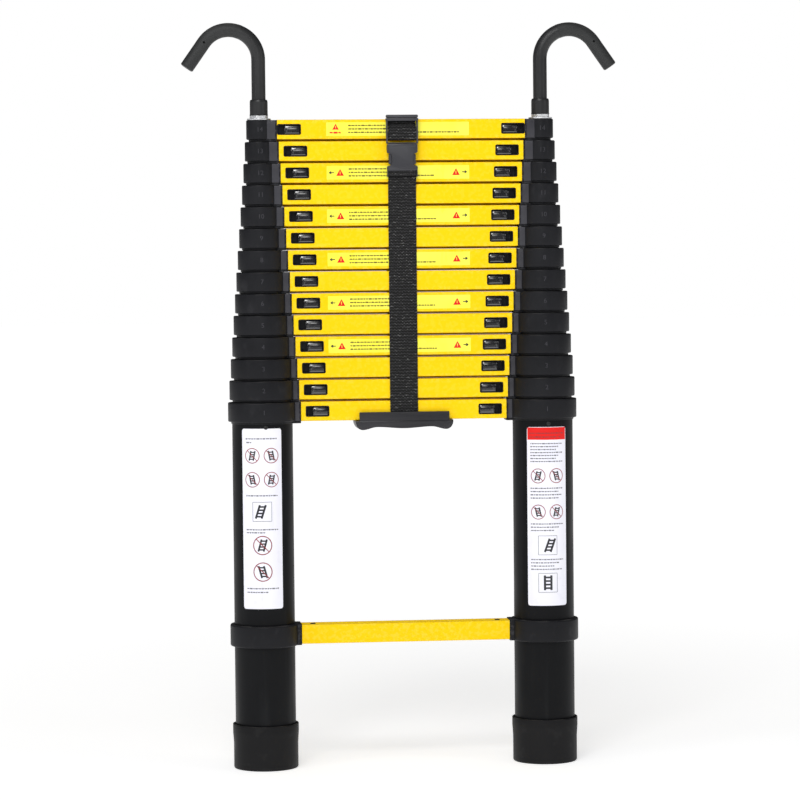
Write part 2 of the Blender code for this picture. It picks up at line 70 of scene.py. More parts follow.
class Side(Enum):
    """The two columns of the ladder, with the direction of each along X."""

    LEFT = -1
    RIGHT = 1

    @property
    def word(self) -> str:
        """Name of the side as the frame's nodes spell it."""
        return self.name.lower()


# ---------------------------------------------------------------------------------------------------
# Shader node groups
# ---------------------------------------------------------------------------------------------------


class GroupMaker:
    """Builds one shader node group with named sockets, once per scene."""

    def __init__(self, name: str, inputs: dict[str, float | None], outputs: Sequence[str]) -> None:
        """Start a group.

        Args:
            name: Name of the group.
            inputs: Socket names with their defaults; None stands for a vector socket.
            outputs: Names of the value outputs.
        """
        self.tree = bpy.data.node_groups.new(name, "ShaderNodeTree")
        for label, default in inputs.items():
            kind = "NodeSocketVector" if default is None else "NodeSocketFloat"
            socket = self.tree.interface.new_socket(label, in_out="INPUT", socket_type=kind)
            if default is not None:
                socket.default_value = default
        for label in outputs:
            self.tree.interface.new_socket(label, in_out="OUTPUT", socket_type="NodeSocketFloat")
        self.source = self.tree.nodes.new("NodeGroupInput")
        self.sink = self.tree.nodes.new("NodeGroupOutput")

    def node(self, kind: str, **settings: object) -> bpy.types.Node:
        """Add a node and set its properties, given by name."""
        made = self.tree.nodes.new(kind)
        for key, value in settings.items():
            setattr(made, key, value)
        return made

    def link(self, start: bpy.types.NodeSocket, end: bpy.types.NodeSocket) -> None:
        """Join two sockets."""
        self.tree.links.new(start, end)

    def math(self, operation: str, first: object, second: object = 0.0) -> bpy.types.NodeSocket:
        """Add a Math node whose operands are sockets or numbers, and return its result."""
        made = self.node("ShaderNodeMath", operation=operation)
        for place, value in zip(made.inputs, (first, second)):
            if isinstance(value, bpy.types.NodeSocket):
                self.link(value, place)
            else:
                place.default_value = value
        return made.outputs[0]

    def noise(self, vector: bpy.types.NodeSocket, scale: object, detail: float) -> bpy.types.NodeSocket:
        """Add a noise texture on a vector and return its factor."""
        made = self.node("ShaderNodeTexNoise")
        made.inputs["Detail"].default_value = detail
        self.link(vector, made.inputs["Vector"])
        if isinstance(scale, bpy.types.NodeSocket):
            self.link(scale, made.inputs["Scale"])
        else:
            made.inputs["Scale"].default_value = scale
        return made.outputs["Fac"]

    def ramp(self, value: bpy.types.NodeSocket, low: float, high: float) -> bpy.types.NodeSocket:
        """Stretch a value so that low gives 0 and high gives 1, smoothly."""
        made = self.node("ShaderNodeMapRange", interpolation_type="SMOOTHSTEP")
        made.inputs["From Min"].default_value = low
        made.inputs["From Max"].default_value = high
        self.link(value, made.inputs["Value"])
        return made.outputs["Result"]


def grain_group() -> bpy.types.ShaderNodeTree:
    """Return the moulded or sprayed grain: fine height, slow patches and scattered specks."""
    found = bpy.data.node_groups.get("surface_grain")
    if found:
        return found
    maker = GroupMaker("surface_grain", {"Vector": None, "Fine Scale": 900.0, "Patch Scale": 14.0},
                       ("Height", "Patches", "Specks"))
    vector = maker.source.outputs["Vector"]
    fine = maker.noise(vector, maker.source.outputs["Fine Scale"], 2.0)
    patches = maker.noise(vector, maker.source.outputs["Patch Scale"], 4.0)
    specks = maker.noise(vector, 420.0, 1.0)
    maker.link(fine, maker.sink.inputs["Height"])
    maker.link(maker.ramp(patches, 0.32, 0.68), maker.sink.inputs["Patches"])
    maker.link(maker.ramp(specks, 0.66, 0.74), maker.sink.inputs["Specks"])
    return maker.tree


def wear_group() -> bpy.types.ShaderNodeTree:
    """Return handling wear: long faint rubs along the tubes and rungs, and rubbed edges."""
    found = bpy.data.node_groups.get("handling_wear")
    if found:
        return found
    maker = GroupMaker("handling_wear", {"Vector": None, "Rub Scale": 60.0, "Stretch X": 1.0,
                                         "Stretch Z": 0.08},
                       ("Rubs", "Edges"))
    mix = maker.node("ShaderNodeCombineXYZ")
    mix.inputs["Y"].default_value = 1.0
    maker.link(maker.source.outputs["Stretch X"], mix.inputs["X"])
    maker.link(maker.source.outputs["Stretch Z"], mix.inputs["Z"])
    stretched = maker.node("ShaderNodeVectorMath", operation="MULTIPLY")
    maker.link(maker.source.outputs["Vector"], stretched.inputs[0])
    maker.link(mix.outputs[0], stretched.inputs[1])
    rubs = maker.noise(stretched.outputs[0], maker.source.outputs["Rub Scale"], 6.0)
    maker.link(maker.ramp(rubs, 0.56, 0.80), maker.sink.inputs["Rubs"])
    geometry = maker.node("ShaderNodeNewGeometry")
    edge = maker.ramp(geometry.outputs["Pointiness"], 0.53, 0.60)
    broken = maker.ramp(maker.noise(maker.source.outputs["Vector"], 190.0, 3.0), 0.45, 0.62)
    maker.link(maker.math("MULTIPLY", edge, broken), maker.sink.inputs["Edges"])
    return maker.tree


def dust_group() -> bpy.types.ShaderNodeTree:
    """Return settled dust: a patchy mask on the faces that look upwards."""
    found = bpy.data.node_groups.get("settled_dust")
    if found:
        return found
    maker = GroupMaker("settled_dust", {"Vector": None, "Amount": 0.3}, ("Mask",))
    geometry = maker.node("ShaderNodeNewGeometry")
    parts = maker.node("ShaderNodeSeparateXYZ")
    maker.link(geometry.outputs["Normal"], parts.inputs[0])
    upward = maker.ramp(parts.outputs["Z"], 0.35, 0.95)
    clouds = maker.ramp(maker.noise(maker.source.outputs["Vector"], 55.0, 5.0), 0.35, 0.75)
    dust = maker.math("MULTIPLY", upward, clouds)
    maker.link(maker.math("MULTIPLY", dust, maker.source.outputs["Amount"]), maker.sink.inputs["Mask"])
    return maker.tree


def weave_group() -> bpy.types.ShaderNodeTree:
    """Return webbing weave on a UV in metres: rib height, painted shade in the valleys between ribs and
    painted glints on the rib crests.
    """
    found = bpy.data.node_groups.get("webbing_weave")
    if found:
        return found
    maker = GroupMaker("webbing_weave", {"Vector": None, "Rib Pitch": 0.0040, "Yarn Pitch": 0.0021},
                       ("Height", "Painted Shade", "Painted Glint"))
    parts = maker.node("ShaderNodeSeparateXYZ")
    vector = maker.source.outputs["Vector"]
    maker.link(vector, parts.inputs[0])
    rib = maker.math("DIVIDE", parts.outputs["X"], maker.source.outputs["Rib Pitch"])
    yarn = maker.math("DIVIDE", parts.outputs["Y"], maker.source.outputs["Yarn Pitch"])
    wobble = maker.math("MULTIPLY", maker.noise(vector, 150.0, 2.0), 0.9)
    column = maker.math("MULTIPLY", maker.math("MODULO", maker.math("FLOOR", yarn), 2.0), 0.22)
    turns = maker.math("ADD", maker.math("ADD", rib, wobble), column)
    rib_wave = maker.math("SINE", maker.math("MULTIPLY", turns, 2.0 * math.pi))
    rib_height = maker.math("ADD", maker.math("MULTIPLY", rib_wave, 0.5), 0.5)
    yarn_wave = maker.math("ABSOLUTE", maker.math("SINE", maker.math("MULTIPLY", yarn, math.pi)))
    rounded_yarn = maker.math("ADD", maker.math("MULTIPLY", yarn_wave, 0.4), 0.6)
    height = maker.math("MULTIPLY", rib_height, rounded_yarn)
    maker.link(height, maker.sink.inputs["Height"])
    # Painted shade: low parts of the weave are darkened, high parts keep the webbing's colour.
    maker.link(maker.ramp(height, 0.25, 0.95), maker.sink.inputs["Painted Shade"])
    # Painted glints: short light streaks across the strap, kept to the rib crests.
    spread = maker.node("ShaderNodeVectorMath", operation="MULTIPLY")
    spread.inputs[1].default_value = (1.0, 0.30, 1.0)
    maker.link(vector, spread.inputs[0])
    glint_mask = maker.ramp(maker.noise(spread.outputs[0], 620.0, 2.0), 0.54, 0.66)
    maker.link(maker.math("MULTIPLY", glint_mask, maker.ramp(height, 0.5, 0.8)), maker.sink.inputs["Painted Glint"])
    return maker.tree


# ---------------------------------------------------------------------------------------------------
# Finishes
# ---------------------------------------------------------------------------------------------------


@dataclass(frozen=True)
class Finish:
    """A surface finish: colours, gloss and the strength of its grain, wear and dust."""

    name: str
    slot: str
    colour: Corner
    patch_colour: Corner
    roughness: float
    roughness_spread: float = 0.10
    grain_scale: float = 900.0
    grain_height: float = 0.00003
    patch_scale: float = 14.0
    rub_colour: Corner = (0.10, 0.10, 0.10)
    rub: float = 0.0
    edge_colour: Corner = (0.12, 0.12, 0.12)
    edge: float = 0.0
    stretch: Flat = (1.0, 0.08)
    dust: float = 0.0
    metallic: float = 0.0
    specular: float = 0.35
    coat: float = 0.0
    sheen: float = 0.0
    woven: bool = False

    def material(self) -> bpy.types.Material:
        """Return the finish's node material, built at its first use."""
        found = bpy.data.materials.get(self.name)
        if found:
            return found
        made = bpy.data.materials.new(self.name)
        made.use_nodes = True
        made.diffuse_color = (*self.colour, 1.0)
        self.wire(made.node_tree)
        return made

    def wire(self, tree: bpy.types.NodeTree) -> None:
        """Join the shared groups to the material's Principled shader."""
        shader = tree.nodes["Principled BSDF"]
        shader.inputs["Metallic"].default_value = self.metallic
        shader.inputs["Specular IOR Level"].default_value = self.specular
        shader.inputs["Coat Weight"].default_value = self.coat
        shader.inputs["Coat Roughness"].default_value = 0.12
        shader.inputs["Sheen Weight"].default_value = self.sheen
        shader.inputs["Sheen Roughness"].default_value = 0.4
        place = tree.nodes.new("ShaderNodeTexCoord").outputs["Object"]
        grain = self.group(tree, grain_group(), place,
                           {"Fine Scale": self.grain_scale, "Patch Scale": self.patch_scale})
        wear = self.group(tree, wear_group(), place,
                          {"Stretch X": self.stretch[0], "Stretch Z": self.stretch[1]})
        dust = self.group(tree, dust_group(), place, {"Amount": self.dust})
        shade = self.blend(tree, grain.outputs["Patches"], 1.0, (*self.colour, 1.0),
                           (*self.patch_colour, 1.0))
        if self.rub:
            shade = self.blend(tree, wear.outputs["Rubs"], self.rub, shade, (*self.rub_colour, 1.0))
        if self.edge:
            shade = self.blend(tree, wear.outputs["Edges"], self.edge, shade, (*self.edge_colour, 1.0))
        if self.dust:
            shade = self.blend(tree, dust.outputs["Mask"], 1.0, shade, (0.42, 0.40, 0.37, 1.0))
        height = grain.outputs["Height"]
        depth = self.grain_height
        if self.woven:
            along = tree.nodes.new("ShaderNodeUVMap")
            along.uv_map = "webbing"
            weave = self.group(tree, weave_group(), along.outputs["UV"], {})
            # Painted shade: the weave's valleys are darkened to near black.
            shade = self.blend(tree, weave.outputs["Painted Shade"], 1.0, (0.0022, 0.0022, 0.0022, 1.0), shade)
            # Painted glints: lighter grey streaks on the rib crests.
            shade = self.blend(tree, weave.outputs["Painted Glint"], 0.6, shade, (0.22, 0.22, 0.215, 1.0))
            height = weave.outputs["Height"]
            depth = 0.0011
        tree.links.new(shade, shader.inputs["Base Color"])
        self.roughness_nodes(tree, shader, grain, wear)
        bump = tree.nodes.new("ShaderNodeBump")
        bump.inputs["Distance"].default_value = depth
        bump.inputs["Strength"].default_value = 1.0 if self.woven else 0.6
        tree.links.new(height, bump.inputs["Height"])
        tree.links.new(bump.outputs[0], shader.inputs["Normal"])

    def roughness_nodes(
        self, tree: bpy.types.NodeTree, shader: bpy.types.Node, grain: bpy.types.Node, wear: bpy.types.Node
    ) -> None:
        """Vary the roughness with the grain's patches and the rubs."""
        spread = tree.nodes.new("ShaderNodeMapRange")
        spread.inputs["To Min"].default_value = self.roughness - self.roughness_spread / 2
        spread.inputs["To Max"].default_value = self.roughness + self.roughness_spread / 2
        tree.links.new(grain.outputs["Patches"], spread.inputs["Value"])
        rubbed = tree.nodes.new("ShaderNodeMath")
        rubbed.operation = "MULTIPLY_ADD"
        rubbed.use_clamp = True
        rubbed.inputs[1].default_value = -0.12
        tree.links.new(wear.outputs["Rubs"], rubbed.inputs[0])
        tree.links.new(spread.outputs["Result"], rubbed.inputs[2])
        tree.links.new(rubbed.outputs[0], shader.inputs["Roughness"])

    @staticmethod
    def group(
        tree: bpy.types.NodeTree,
        shared: bpy.types.ShaderNodeTree,
        vector: bpy.types.NodeSocket,
        values: dict[str, float],
    ) -> bpy.types.Node:
        """Place a shared group, fed with a vector and its own values."""
        made = tree.nodes.new("ShaderNodeGroup")
        made.node_tree = shared
        tree.links.new(vector, made.inputs["Vector"])
        for label, value in values.items():
            made.inputs[label].default_value = value
        return made

    @staticmethod
    def blend(
        tree: bpy.types.NodeTree, mask: bpy.types.NodeSocket, share: float, under: object, over: object
    ) -> bpy.types.NodeSocket:
        """Mix two colours by a mask times a share; each colour is a socket or a tuple."""
        made = tree.nodes.new("ShaderNodeMix")
        made.data_type = "RGBA"
        if share < 1.0:
            scaled = tree.nodes.new("ShaderNodeMath")
            scaled.operation = "MULTIPLY"
            scaled.inputs[1].default_value = share
            tree.links.new(mask, scaled.inputs[0])
            mask = scaled.outputs[0]
        tree.links.new(mask, made.inputs["Factor"])
        for socket, value in ((made.inputs[6], under), (made.inputs[7], over)):
            if isinstance(value, bpy.types.NodeSocket):
                tree.links.new(value, socket)
            else:
                socket.default_value = value
        return made.outputs[2]


TUBE_PAINT = Finish(
    "tube_black_paint", "black_painted_alloy", (0.0056, 0.0059, 0.0068), (0.0076, 0.0080, 0.0091), 0.42,
    grain_scale=1500.0, grain_height=0.000012, rub_colour=(0.022, 0.023, 0.025), rub=0.35,
    stretch=(1.0, 0.05),
    specular=0.09,
)
COLLAR_NYLON = Finish(
    "collar_black_nylon", "black_painted_alloy", (0.0076, 0.0079, 0.0098), (0.0108, 0.0112, 0.0136), 0.44,
    grain_scale=1100.0, grain_height=0.00006, rub_colour=(0.034, 0.034, 0.038), rub=0.35, stretch=(1.0, 0.6),
    edge_colour=(0.060, 0.060, 0.066), edge=0.5, dust=0.10, specular=0.18,
)
# Lighter copy of the collar nylon: a painted highlight on the arms' flat front faces and on the raised digits,
# standing in for the light they catch.
PAINTED_HIGHLIGHT_NYLON = Finish(
    "nylon_painted_highlight", "black_painted_alloy", (0.0290, 0.0287, 0.0355), (0.0390, 0.0386, 0.0470), 0.40,
    grain_scale=1300.0, grain_height=0.00009, rub_colour=(0.055, 0.055, 0.060), rub=0.25, stretch=(1.0, 0.6),
    dust=0.08, specular=0.36,
)
FITTING_NYLON = Finish(
    "fitting_black_nylon", "black_nylon", (0.0170, 0.0168, 0.0200), (0.0250, 0.0247, 0.0290), 0.42,
    grain_scale=1000.0, grain_height=0.00007, rub_colour=(0.045, 0.045, 0.051), rub=0.25, stretch=(1.0, 0.5),
    dust=0.06, specular=0.36,
)
BUCKLE_NYLON = Finish(
    "buckle_black_nylon", "black_nylon", (0.0330, 0.0332, 0.0390), (0.0440, 0.0443, 0.0510), 0.38,
    grain_scale=1100.0, grain_height=0.00007, rub_colour=(0.065, 0.065, 0.073), rub=0.25, stretch=(1.0, 0.5),
    dust=0.05, specular=0.40,
)
BUTTON_NYLON = Finish(
    "button_gloss_nylon", "black_nylon", (0.0090, 0.0090, 0.0110), (0.0130, 0.0130, 0.0155), 0.15,
    roughness_spread=0.04, grain_scale=500.0, grain_height=0.00001, specular=1.0, coat=1.0,
)
RUNG_PAINT = Finish(
    "rung_yellow_paint", "yellow_painted_alloy", (0.950, 0.615, 0.002), (0.965, 0.640, 0.003), 0.34,
    roughness_spread=0.08, grain_scale=650.0, grain_height=0.000014, patch_scale=5.0,
    rub_colour=(0.88, 0.56, 0.005), rub=0.07, stretch=(0.05, 1.0), edge_colour=(0.99, 0.74, 0.10), edge=0.3,
    dust=0.03, specular=0.10,
)
FOOT_RUBBER = Finish(
    "foot_black_rubber", "black_rubber", (0.0065, 0.0066, 0.0074), (0.0095, 0.0094, 0.0102), 0.50,
    grain_scale=700.0, grain_height=0.00009, rub_colour=(0.026, 0.026, 0.026), rub=0.30, stretch=(1.0, 1.0),
    dust=0.15,
    specular=0.16,
)
SLEEVE_RUBBER = Finish(
    "sleeve_black_rubber", "black_coated_steel", (0.0190, 0.0200, 0.0205), (0.0240, 0.0252, 0.0256), 0.55,
    grain_scale=900.0, grain_height=0.00008, rub_colour=(0.045, 0.046, 0.046), rub=0.25, stretch=(1.0, 1.0),
    dust=0.12,
)
HOOK_STEEL = Finish(
    "hook_black_coating", "black_coated_steel", (0.0165, 0.0170, 0.0180), (0.0205, 0.0210, 0.0220), 0.40,
    grain_scale=520.0, grain_height=0.00009, rub_colour=(0.055, 0.056, 0.058), rub=0.25, stretch=(1.0, 0.4),
    edge_colour=(0.12, 0.12, 0.12), edge=0.4,
)
ZINC = Finish(
    "bright_zinc_plate", "zinc_plated_steel", (0.94, 0.95, 0.96), (0.84, 0.85, 0.88), 0.48,
    grain_scale=420.0, grain_height=0.00003, patch_scale=90.0, rub_colour=(0.85, 0.85, 0.86), rub=0.4,
    stretch=(1.0, 1.0), metallic=1.0,
)
# Woven: the weave paints shade into the valleys between ribs and glints onto the rib crests.
WEBBING = Finish(
    "black_strap_webbing", "black_webbing", (0.0260, 0.0260, 0.0275), (0.0350, 0.0350, 0.0365), 0.62,
    roughness_spread=0.12, sheen=0.05, specular=0.25, woven=True,
)
STITCH_THREAD = Finish(
    "black_stitch_thread", "black_webbing", (0.040, 0.040, 0.041), (0.055, 0.055, 0.056), 0.60,
    grain_scale=2500.0, grain_height=0.00008,
)
LABEL_VINYL = Finish(
    "label_white_vinyl", "black_painted_alloy", (0.86, 0.86, 0.95), (0.89, 0.89, 0.96), 0.32,
    grain_scale=1300.0, grain_height=0.00001, patch_scale=30.0, rub_colour=(0.70, 0.70, 0.74), rub=0.25,
)
STICKER_VINYL = Finish(
    "sticker_pale_vinyl", "yellow_painted_alloy", (0.985, 0.905, 0.060), (0.995, 0.925, 0.090), 0.30,
    grain_scale=1300.0, grain_height=0.00001, patch_scale=25.0,
)
INK_BLACK = Finish("ink_black", "black_painted_alloy", (0.025, 0.025, 0.030), (0.045, 0.045, 0.050), 0.40)
INK_GREY = Finish("ink_grey", "black_painted_alloy", (0.16, 0.16, 0.19), (0.22, 0.22, 0.25), 0.40)
INK_RED = Finish("ink_red", "yellow_painted_alloy", (0.74, 0.016, 0.014), (0.80, 0.026, 0.022), 0.40,
                 specular=0.15)
INK_MAROON = Finish("ink_maroon", "black_painted_alloy", (0.26, 0.030, 0.035), (0.32, 0.045, 0.050), 0.40)
INK_OLIVE = Finish("ink_olive", "yellow_painted_alloy", (0.14, 0.11, 0.02), (0.20, 0.16, 0.03), 0.42,
                   specular=0.2)


# ---------------------------------------------------------------------------------------------------
# Shaping tools
# ---------------------------------------------------------------------------------------------------


def rounded(corners: Sequence[Corner], steps: int = 4) -> list[Flat]:
    """Round the corners of a closed outline.

    Args:
        corners: (across, up, radius) of each corner in order; radius 0 keeps it sharp.
        steps: Number of straight runs in each round.

    Returns:
        Points of the rounded outline.
    """
    outline: list[Flat] = []
    for index, (x, y, radius) in enumerate(corners):
        here = Vector((x, y))
        before = Vector(corners[index - 1][:2]) - here
        after = Vector(corners[(index + 1) % len(corners)][:2]) - here
        if radius <= 0.0:
            outline.append((x, y))
            continue
        opening = before.angle(after)
        reach = min(radius / math.tan(opening / 2), before.length * 0.49, after.length * 0.49)
        start, end = here + before.normalized() * reach, here + after.normalized() * reach
        for step in range(steps + 1):
            share = step / steps
            low = start.lerp(here, share)
            high = here.lerp(end, share)
            point = low.lerp(high, share)
            outline.append((point.x, point.y))
    return outline


def box_corners(width: float, height: float, radius: float) -> list[Corner]:
    """Return the corners of a centred rectangle, all with one radius, for rounded()."""
    return [(a * width / 2, b * height / 2, radius) for a, b in ((-1, -1), (1, -1), (1, 1), (-1, 1))]


class Shaper:
    """Gathers closed shells into one mesh, each with one of the piece's finishes."""

    def __init__(self, name: str, *finishes: Finish) -> None:
        """Start an empty piece with a name and its finishes, whose places are the shells' slots."""
        self.name = name
        self.finishes = finishes
        self.cage = bmesh.new()

    def close(self, faces: Iterable[bmesh.types.BMFace], slot: int) -> None:
        """Point the faces of a new closed shell outwards and give them a finish."""
        shell = list(faces)
        for face in shell:
            face.material_index = slot
        bmesh.ops.recalc_face_normals(self.cage, faces=shell)

    def lathe(
        self, profile: Sequence[Flat], centre: Corner, sides: int = 64, slot: int = 0, open_ends: bool = False
    ) -> None:
        """Turn a closed profile of (radius, height) points about the vertical through centre."""
        rings: list[list[bmesh.types.BMVert]] = []
        for radius, height in profile:
            count = 1 if radius < 1e-7 else sides
            ring = []
            for step in range(count):
                angle = 2 * math.pi * step / sides
                point = (radius * math.cos(angle), radius * math.sin(angle), height)
                ring.append(self.cage.verts.new(Vector(centre) + Vector(point)))
            rings.append(ring)
        faces = []
        pairs = list(zip(rings, rings[1:])) if open_ends else list(zip(rings, rings[1:] + rings[:1]))
        for low, high in pairs:
            if len(low) == 1 and len(high) == 1:
                continue
            for step in range(sides):
                following = (step + 1) % sides
                corners = [low[step % len(low)], low[following % len(low)],
                           high[following % len(high)], high[step % len(high)]]
                faces.append(self.cage.faces.new(list(dict.fromkeys(corners))))
        self.close(faces, slot)

    def prism(self, outline: Sequence[Flat], depth: float, place: Matrix, slot: int = 0,
              bevel: float = 0.0) -> None:
        """Extrude a closed outline by depth along local Z, centred, and round its rims."""
        cage = bmesh.new()
        low = [cage.verts.new((x, y, -depth / 2)) for x, y in outline]
        high = [cage.verts.new((x, y, depth / 2)) for x, y in outline]
        ends = [cage.faces.new(list(reversed(low))), cage.faces.new(high)]
        rims = list(ends[0].edges) + list(ends[1].edges)
        for index in range(len(outline)):
            following = (index + 1) % len(outline)
            cage.faces.new((low[index], low[following], high[following], high[index]))
        if bevel:
            bmesh.ops.bevel(cage, geom=rims, offset=bevel, segments=2, affect="EDGES", profile=0.5,
                            clamp_overlap=True)
        bmesh.ops.transform(cage, matrix=place, verts=cage.verts)
        bmesh.ops.recalc_face_normals(cage, faces=cage.faces)
        mesh = bpy.data.meshes.new("prism")
        cage.to_mesh(mesh)
        cage.free()
        self.absorb(mesh, slot)

    def block(self, low: Corner, high: Corner, radius: float, slot: int = 0) -> None:
        """Add a box between two corners with all its edges rounded."""
        size = Vector(abs(b - a) for a, b in zip(low, high))
        middle = Matrix.Translation((Vector(low) + Vector(high)) / 2)
        outline = rounded(box_corners(size.x, size.y, radius), 3)
        self.prism(outline, size.z, middle, slot, radius * 0.8)

    def sweep(
        self, path: Sequence[Vector], radii: Sequence[float], side: Vector, sides: int = 32, slot: int = 0
    ) -> None:
        """Sweep a circle along a flat path; side is the direction square to the path's plane."""
        rings = []
        for index, point in enumerate(path):
            along = path[min(index + 1, len(path) - 1)] - path[max(index - 1, 0)]
            up = along.normalized().cross(side)
            ring = []
            for step in range(sides):
                angle = 2 * math.pi * step / sides
                offset = side * math.cos(angle) + up * math.sin(angle)
                ring.append(self.cage.verts.new(point + offset * radii[index]))
            rings.append(ring)
        faces = [self.cage.faces.new(rings[0]), self.cage.faces.new(rings[-1])]
        for low, high in zip(rings, rings[1:]):
            for step in range(sides):
                following = (step + 1) % sides
                faces.append(self.cage.faces.new((low[step], low[following], high[following], high[step])))
        self.close(faces, slot)

    def absorb(self, mesh: bpy.types.Mesh, slot: int = 0,
               warp: Callable[[Vector], Vector] | None = None) -> None:
        """Add another mesh's faces, moved point by point, and drop that mesh."""
        before = len(self.cage.verts)
        faces_before = len(self.cage.faces)
        self.cage.from_mesh(mesh)
        self.cage.verts.ensure_lookup_table()
        self.cage.faces.ensure_lookup_table()
        if warp:
            for corner in self.cage.verts[before:]:
                corner.co = warp(corner.co.copy())
        for face in self.cage.faces[faces_before:]:
            face.material_index = slot
        bpy.data.meshes.remove(mesh)

    def done(self, angle: float = 32.0) -> bpy.types.Object:
        """Turn the shells into the finished object, smooth but for edges sharper than angle."""
        mesh = bpy.data.meshes.new(self.name)
        self.cage.to_mesh(mesh)
        self.cage.free()
        for finish in self.finishes:
            mesh.materials.append(finish.material())
        mesh.shade_smooth()
        mesh.set_sharp_from_angle(angle=math.radians(angle))
        made = bpy.data.objects.new(self.name, mesh)
        bpy.context.scene.collection.objects.link(made)
        return made


def carve(part: bpy.types.Object, cutters: Sequence[bpy.types.Object]) -> None:
    """Cut the cutters out of a part and remove them."""
    for cutter in cutters:
        step = part.modifiers.new("cut", "BOOLEAN")
        step.operation = "DIFFERENCE"
        step.solver = "EXACT"
        step.object = cutter
    bake_modifiers(part)
    for cutter in cutters:
        bpy.data.objects.remove(cutter)


def bake_modifiers(part: bpy.types.Object) -> None:
    """Write a part's modifiers into its mesh."""
    bpy.context.view_layer.update()
    seen = part.evaluated_get(bpy.context.evaluated_depsgraph_get())
    mesh = bpy.data.meshes.new_from_object(seen)
    part.modifiers.clear()
    part.data = mesh


def place_piece(piece: bpy.types.Object, body: str, slot: str, *nodes: str) -> None:
    """Tie a finished piece to its body and hide the CAD nodes that it stands for; the slot is not used."""
    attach(piece, body)
    if nodes:
        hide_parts(*nodes)
    LOG.info("%s rides on %s with %d faces", piece.name, body, len(piece.data.polygons))


# ---------------------------------------------------------------------------------------------------
# Repeated small pieces
# ---------------------------------------------------------------------------------------------------


class UnitShape(Enum):
    """The small shapes that a repeated row is made of, by geometry node."""

    STUD = "GeometryNodeMeshCylinder"
    STITCH = "GeometryNodeMeshIcoSphere"


@dataclass
class RepeatedRow:
    """A grid of equal small shapes, made by geometry nodes and written out as a plain mesh."""

    name: str
    shape: UnitShape
    finish: Finish
    start: Vector
    step: Vector
    count: int
    size: Vector
    second_step: Vector = field(default_factory=lambda: Vector((0.0, 0.0, 0.0)))
    second_count: int = 1
    turn: Vector = field(default_factory=lambda: Vector((0.0, 0.0, 0.0)))

    def tree(self) -> bpy.types.GeometryNodeTree:
        """Build the node tree with its named inputs."""
        made = bpy.data.node_groups.new(self.name + "_row", "GeometryNodeTree")
        face = made.interface
        face.new_socket("Geometry", in_out="OUTPUT", socket_type="NodeSocketGeometry")
        for label, kind in (
            ("Start", "NodeSocketVector"), ("Step", "NodeSocketVector"), ("Count", "NodeSocketInt"),
            ("Second Step", "NodeSocketVector"), ("Second Count", "NodeSocketInt"),
            ("Size", "NodeSocketVector"), ("Turn", "NodeSocketVector"),
        ):
            face.new_socket(label, in_out="INPUT", socket_type=kind)
        nodes, links = made.nodes, made.links
        source, sink = nodes.new("NodeGroupInput"), nodes.new("NodeGroupOutput")
        first, second = nodes.new("GeometryNodeMeshLine"), nodes.new("GeometryNodeMeshLine")
        links.new(source.outputs["Start"], first.inputs["Start Location"])
        links.new(source.outputs["Step"], first.inputs["Offset"])
        links.new(source.outputs["Count"], first.inputs["Count"])
        links.new(source.outputs["Second Step"], second.inputs["Offset"])
        links.new(source.outputs["Second Count"], second.inputs["Count"])
        grid = nodes.new("GeometryNodeInstanceOnPoints")
        links.new(first.outputs[0], grid.inputs["Points"])
        links.new(second.outputs[0], grid.inputs["Instance"])
        spread = nodes.new("GeometryNodeRealizeInstances")
        links.new(grid.outputs[0], spread.inputs[0])
        unit = nodes.new(self.shape.value)
        if self.shape is UnitShape.STUD:
            unit.inputs["Vertices"].default_value = 20
            unit.inputs["Radius"].default_value = 0.5
            unit.inputs["Depth"].default_value = 1.0
        if self.shape is UnitShape.STITCH:
            unit.inputs["Radius"].default_value = 0.5
            unit.inputs["Subdivisions"].default_value = 2
        scatter = nodes.new("GeometryNodeInstanceOnPoints")
        links.new(spread.outputs[0], scatter.inputs["Points"])
        links.new(unit.outputs[0], scatter.inputs["Instance"])
        links.new(source.outputs["Turn"], scatter.inputs["Rotation"])
        links.new(source.outputs["Size"], scatter.inputs["Scale"])
        real = nodes.new("GeometryNodeRealizeInstances")
        links.new(scatter.outputs[0], real.inputs[0])
        dress = nodes.new("GeometryNodeSetMaterial")
        dress.inputs["Material"].default_value = self.finish.material()
        links.new(real.outputs[0], dress.inputs[0])
        links.new(dress.outputs[0], sink.inputs[0])
        return made

    def mesh(self) -> bpy.types.Mesh:
        """Evaluate the row and return it as a plain mesh."""
        holder = bpy.data.objects.new(self.name, bpy.data.meshes.new(self.name))
        bpy.context.scene.collection.objects.link(holder)
        step = holder.modifiers.new("row", "NODES")
        step.node_group = self.tree()
        values = {
            "Start": tuple(self.start), "Step": tuple(self.step), "Count": self.count,
            "Second Step": tuple(self.second_step), "Second Count": self.second_count,
            "Size": tuple(self.size), "Turn": tuple(self.turn),
        }
        for item in step.node_group.interface.items_tree:
            if item.in_out == "INPUT":
                step[item.identifier] = values[item.name]
        bake_modifiers(holder)
        mesh = holder.data
        bpy.data.objects.remove(holder)
        return mesh


# ---------------------------------------------------------------------------------------------------
# Sizes shared by the sub-assemblies
# ---------------------------------------------------------------------------------------------------


